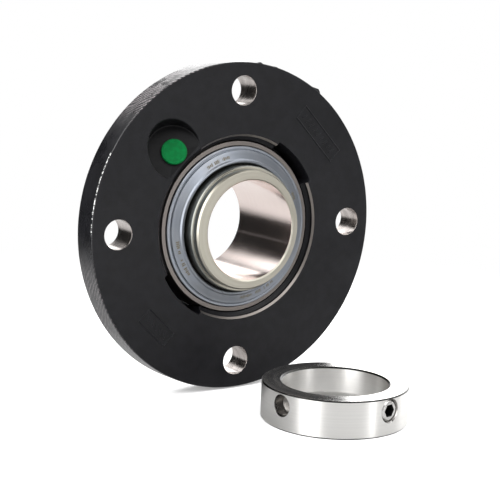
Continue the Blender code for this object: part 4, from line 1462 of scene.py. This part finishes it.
@dataclass
class Collar(SubAssembly):
    """The eccentric locking collar and its set screw."""

    bore: float = 25.4 * MM
    recess: float = 30.6 * MM
    recess_depth: float = 5.0 * MM
    offset: float = 1.15 * MM
    screw_angle: float = -82.0
    pin_angle: float = -172.0
    height: float = 11.6 * MM
    pin_radius: float = 4.75 * MM
    pin_depth: float = 6.5 * MM
    screw_radius: float = 4.85 * MM
    screw_length: float = 8.4 * MM
    sink: float = 0.6 * MM
    socket: float = 2.9 * MM
    socket_depth: float = 4.0 * MM
    gap: float = 0.3 * MM
    pitch: float = 1.0 * MM
    thread_depth: float = 0.28 * MM

    def __post_init__(self) -> None:
        """Take the collar's place, radius and width from the frame."""
        low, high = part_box("locking_collar")
        self.foot = Vector(((low.x + high.x) / 2, (low.y + high.y) / 2, low.z))
        self.radius = (high.y - low.y) / 2
        self.width = high.z - low.z

    def build(self) -> None:
        """Build both pieces."""
        self._collar()
        self._screw()

    def _side(self, degrees: float) -> Matrix:
        """Frame on the collar's axis whose +Z points out through its rim at an angle."""
        turn = math.radians(degrees)
        outwards = Vector((math.cos(turn), math.sin(turn), 0.0))
        lift = self.foot + Vector((0.0, 0.0, self.height))
        return Matrix.Translation(lift) @ outwards.to_track_quat("Z", "Y").to_matrix().to_4x4()

    def _collar(self) -> None:
        """Turn the collar, shift its recess off centre, and drill its two holes."""
        radius, width = self.radius, self.width
        outline = rounded([
            (self.bore, width - 0.8 * MM, 0.1 * MM), (self.bore + 0.8 * MM, width, 0.12 * MM),
            (radius - 0.6 * MM, width, 0.15 * MM), (radius, width - 0.6 * MM, 0.15 * MM),
            (radius, 0.6 * MM, 0.15 * MM), (radius - 0.6 * MM, 0.0, 0.15 * MM),
            (self.recess + 0.4 * MM, 0.0, 0.1 * MM), (self.recess, 0.4 * MM, 0.1 * MM),
            (self.recess, self.recess_depth, 0.3 * MM), (self.bore, self.recess_depth, 0.15 * MM)])
        mesh = self.turned(outline, Fineness.RING, self.palette.collar, Matrix.Identity(4))
        for vert in mesh.vertices:
            if self.recess - 0.6 * MM < math.hypot(vert.co.x, vert.co.y) < self.recess + 0.6 * MM:
                vert.co.x += self.offset
        mesh.transform(Matrix.Translation(self.foot))
        mesh = carve(mesh, [self._pin_tool(), self._screw_tool()])
        paint_faces(mesh, self.palette.faced, self._faced)
        paint_faces(mesh, self.palette.drill_wall, self._bored)
        # The chamfers at both ends take the near-black steel: painted dark reflection.
        paint_faces(mesh, self.palette.edge, lambda c, n: 0.3 < abs(n.z) < 0.95
                    and abs(c.z - self.foot.z - width / 2) > width / 2 - 0.85 * MM)
        self.shop.shelf.put("turned_collar", mesh, "collar_unit", Slot.COLLAR, ["locking_collar"])

    def _faced(self, centre: Vector, normal: Vector) -> bool:
        """Whether a face belongs to the ends, the chamfers or a drilled hole, not to a turned wall."""
        flat = Vector((centre.x - self.foot.x, centre.y - self.foot.y))
        across = Vector((normal.x, normal.y))
        return abs(normal.z) > 0.3 or abs(across.dot(flat.normalized())) < 0.9

    def _bored(self, centre: Vector, normal: Vector) -> bool:
        """Whether a face lies on the wall or the floor of a hole drilled in from the rim."""
        deep = (centre - self.foot).xy.length
        return self.bore + 1.5 * MM < deep < self.radius - 0.12 * MM and abs(normal.z) < 0.98 and (
            abs((centre - self.foot).z - self.height) < self.pin_radius + 0.2 * MM)

    def _pin_tool(self) -> Mesh:
        """Cutter of the blind pin hole: a drill point, a straight wall and a broken edge."""
        rim, floor = self.radius, self.radius - self.pin_depth
        outline = [(0.0, floor - 0.9 * MM), (self.pin_radius, floor + 0.6 * MM),
                   (self.pin_radius, rim - 1.0 * MM),
                   (self.pin_radius + 0.45 * MM, rim - 0.1 * MM),
                   (self.pin_radius + 0.9 * MM, rim + 2 * MM),
                   (0.0, rim + 2 * MM)]
        return self.turned(outline, Fineness.HOLE, None, self._side(self.pin_angle), closed=False)

    def _screw_tool(self) -> Mesh:
        """Cutter of the tapped hole."""
        rim, inner, bore = self.radius, self.bore - 3 * MM, self.screw_radius + self.gap
        rows = [(bore + self.thread_depth / 2, inner + (rim - 1.1 * MM - inner) * step / 72)
                for step in range(73)]
        outline = [(0.0, inner), *rows, (bore + 0.1 * MM, rim - 1.0 * MM),
                   (bore + 0.5 * MM, rim - 0.1 * MM),
                   (bore + 0.9 * MM, rim + 2 * MM), (0.0, rim + 2 * MM)]
        blank = self.turned(outline, Fineness.SMALL, None, Matrix.Identity(4), closed=False)
        mesh = grow(self.shop.trees.thread, blank, Pitch=self.pitch, Depth=self.thread_depth / 2,
                    From=inner + 0.1 * MM, To=rim - 1.2 * MM, Core=self.screw_radius)
        mesh.transform(self._side(self.screw_angle))
        return tidy(mesh)

    def _screw(self) -> None:
        """Build the set screw: threaded, with a hexagon socket and a cup point."""
        head = self.radius - self.sink
        tip, radius = head - self.screw_length, self.screw_radius
        start, end, steps = tip + 1.4 * MM, head - 0.75 * MM, 64
        rows = [(radius, start + (end - start) * step / steps) for step in range(steps + 1)]
        outline = [(0.0, tip + 0.9 * MM), (radius - 2.3 * MM, tip + 0.1 * MM),
                   (radius - 2.1 * MM, tip),
                   (radius - 1.6 * MM, tip), (radius - 1.4 * MM, tip + 0.1 * MM), *rows,
                   (radius - 0.62 * MM, head - 0.08 * MM), (radius - 0.8 * MM, head), (0.0, head)]
        finish = self.palette.screw
        blank = self.turned(outline, Fineness.SMALL, finish, Matrix.Identity(4), closed=False)
        mesh = grow(self.shop.trees.thread, blank, Pitch=self.pitch, Depth=self.thread_depth,
                    From=start + 0.02 * MM, To=end - 0.02 * MM, Core=radius - 0.5 * MM,
                    Finish=finish)
        mesh = carve(tidy(mesh), [self._hexagon(head)])
        # The faces in the hexagon socket take the near-black finish: painted shade of the socket.
        paint_faces(mesh, self.palette.socket_shade,
                    lambda c, n: math.hypot(c.x, c.y) < self.socket * 1.02 and c.z > tip + 2 * MM)
        mesh.transform(self._side(self.screw_angle))
        self.shop.shelf.put("threaded_set_screw", mesh, "set_screw_unit", Slot.SCREW, ["set_screw"])

    def _hexagon(self, head: float) -> Mesh:
        """Cutter of the hexagon socket, with a lead-in and a drilled floor."""
        rings = []
        for share, height in ((0.5, -self.socket_depth - 0.5 * MM), (0.86, -self.socket_depth),
                              (1.0, -self.socket_depth),
                              (1.0, -0.3 * MM), (1.12, 0.0), (1.5, 1.0 * MM)):
            turns = [FULL_TURN * side / 6 for side in range(6)]
            rings.append([Vector((math.cos(t), math.sin(t), 0.0)) * self.socket * share
                          + Vector((0.0, 0.0, head + height)) for t in turns])
        return loft(rings)


# ---------------------------------------------------------------------------------------------
# Studio
# ---------------------------------------------------------------------------------------------

@dataclass(frozen=True)
class Panel:
    """A bright or dark panel of the studio, as seen from the object, in degrees.

    Headings run from +Y (0) over +X (90); heights run up from the horizon.
    """

    heading: float
    width: float
    height: float
    tall: float
    strength: float
    soft: float = 4.0


@dataclass
class Studio:
    """Camera, pale floor and soft light."""

    azimuth: float = -34.22
    elevation: float = 9.13
    roll: float = 2.01
    distance: float = 597.17 * MM
    lens: float = 84.7
    aim: Corner = (6.68 * MM, -14.2 * MM, -11.79 * MM)
    room: float = 0.5
    floor_size: float = 1.4
    floor_gap: float = 0.02 * MM         # below the object
    floor_finish: Place = (0.7, 0.2)     # roughness and specular level
    floor_tone: float = 0.86
    floor_gloss: float = 0.48            # tone of the floor in mirror reflections
    floor_lift: float = 0.3              # how far its shadows are lightened for the eye
    floor_fade: Place = (0.17, 0.44)     # where it starts and ends to fade out
    panels: tuple[Panel, ...] = (
        Panel(-29.0, 92.0, 8.0, 56.0, -0.49, 2.0),
        Panel(-34.4, 5.0, 12.6, 0.8, 0.5, 0.5),
        Panel(-104.0, 34.0, 16.0, 64.0, 4.0),
        Panel(158.0, 8.0, 16.0, 64.0, 5.0),
        Panel(60.0, 84.0, 16.0, 62.0, 2.5),
        Panel(0.0, 360.0, 51.0, 31.0, 2.2, 2.5),
        Panel(0.0, 360.0, 90.0, 40.0, -0.5, 3.0),
    )

    def build(self) -> None:
        """Build everything around the object."""
        self._camera()
        self._floor()
        self._sky()
        bpy.context.scene.view_settings.view_transform = "Standard"

    def _camera(self) -> None:
        """Place the camera on its line of sight and turn it about that line."""
        turn, lift = math.radians(self.azimuth), math.radians(self.elevation)
        back = Vector((math.sin(turn) * math.cos(lift), -math.cos(turn) * math.cos(lift),
                       math.sin(lift)))
        data = bpy.data.cameras.new("camera")
        data.lens, data.sensor_width = self.lens, 36.0
        data.clip_start, data.clip_end = 0.01, 20.0
        camera = linked("camera", data)
        look = (-back).to_track_quat("-Z", "Y").to_matrix().to_4x4()
        camera.matrix_world = (Matrix.Translation(Vector(self.aim) + back * self.distance) @ look
                               @ Matrix.Rotation(math.radians(self.roll), 4, "Z"))
        bpy.context.scene.camera = camera

    def _floor(self) -> None:
        """A round pale floor that fades out into the backdrop."""
        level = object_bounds()[0].z - self.floor_gap
        mesh = bpy.data.meshes.new("floor")
        shape = bmesh.new()
        bmesh.ops.create_circle(shape, cap_ends=True, segments=64, radius=self.floor_size)
        bmesh.ops.translate(shape, verts=shape.verts, vec=(0.0, 0.0, level))
        shape.to_mesh(mesh)
        shape.free()
        floor = linked("floor", mesh)
        material = bpy.data.materials.new("pale_floor")
        material.use_nodes = True
        sheet = Sheet(material.node_tree)
        shader = material.node_tree.nodes["Principled BSDF"]
        glossy = sheet.add("ShaderNodeLightPath").outputs["Is Glossy Ray"]
        tones = [(tone, tone, tone, 1.0) for tone in (self.floor_tone, self.floor_gloss)]
        sheet.join(sheet.blend(glossy, *tones), shader.inputs["Base Color"])
        for name, value in zip(("Roughness", "Specular IOR Level"), self.floor_finish):
            shader.inputs[name].default_value = value
        shader.inputs["Emission Color"].default_value = (1.0, 1.0, 1.0, 1.0)
        seen = sheet.add("ShaderNodeLightPath").outputs["Is Camera Ray"]
        sheet.join(sheet.times(seen, self.floor_lift), shader.inputs["Emission Strength"])
        place = sheet.add("ShaderNodeTexCoord").outputs["Object"]
        reach = sheet.length(place)
        sheet.join(sheet.ramp(reach, *self.floor_fade, 1.0, 0.0), shader.inputs["Alpha"])
        mesh.materials.append(material)
        floor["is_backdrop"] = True

    def _sky(self) -> None:
        """A plain bright backdrop for the eye, and a room of soft panels for the light."""
        world = bpy.data.worlds.new("studio")
        bpy.context.scene.world = world
        world.use_nodes = True
        sheet = Sheet(world.node_tree)
        background = world.node_tree.nodes["Background"]
        way = sheet.add("ShaderNodeTexCoord").outputs["Generated"]
        axes = sheet.split(way)
        lift = sheet.times(sheet.calc("ARCSINE", axes[2]), 180 / math.pi)
        heading = sheet.times(sheet.calc("ARCTAN2", axes[0], axes[1]), 180 / math.pi)
        light: Socket = self.room
        for panel in self.panels:
            there = sheet.window(lift, panel.height - panel.tall / 2, panel.height + panel.tall / 2,
                                 panel.soft)
            if panel.width < 360:
                # The difference in heading is wrapped, so that a panel may lie across the half turn.
                apart = sheet.calc("WRAP", sheet.minus(heading, panel.heading), 180.0, -180.0)
                across = sheet.window(apart, -panel.width / 2, panel.width / 2, panel.soft)
                there = sheet.times(there, across)
            light = sheet.plus(light, sheet.times(there, panel.strength))
        seen = sheet.add("ShaderNodeLightPath").outputs["Is Camera Ray"]
        light = sheet.calc("MAXIMUM", light, 0.02)
        strength = sheet.add("ShaderNodeMix", {0: seen, 2: light, 3: 1.0}, data_type="FLOAT")
        sheet.join(strength.outputs[0], background.inputs["Strength"])
        background.inputs["Color"].default_value = (1.0, 1.0, 1.0, 1.0)


def main() -> None:
    """Build the unit's sub-assemblies in order and report them."""
    logging.basicConfig(level=logging.INFO, format="%(name)s %(message)s")
    trees, effects = GrowTrees(), Effects()
    low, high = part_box("locking_collar")
    shop = Workshop(trees, Palette(effects, (low + high) / 2), PieceShelf(LOG))
    housing = Housing(shop)
    housing.build()
    GreasePoint(shop, housing.front).build()
    OuterRing(shop).build()
    for end in ("front", "rear"):
        Seal(shop, end).build()
    InnerRing(shop).build()
    BallSet(shop).build()
    Collar(shop).build()
    Studio().build()
    LOG.info("%d pieces", shop.shelf.count)


if __name__ == "__main__":
    main()
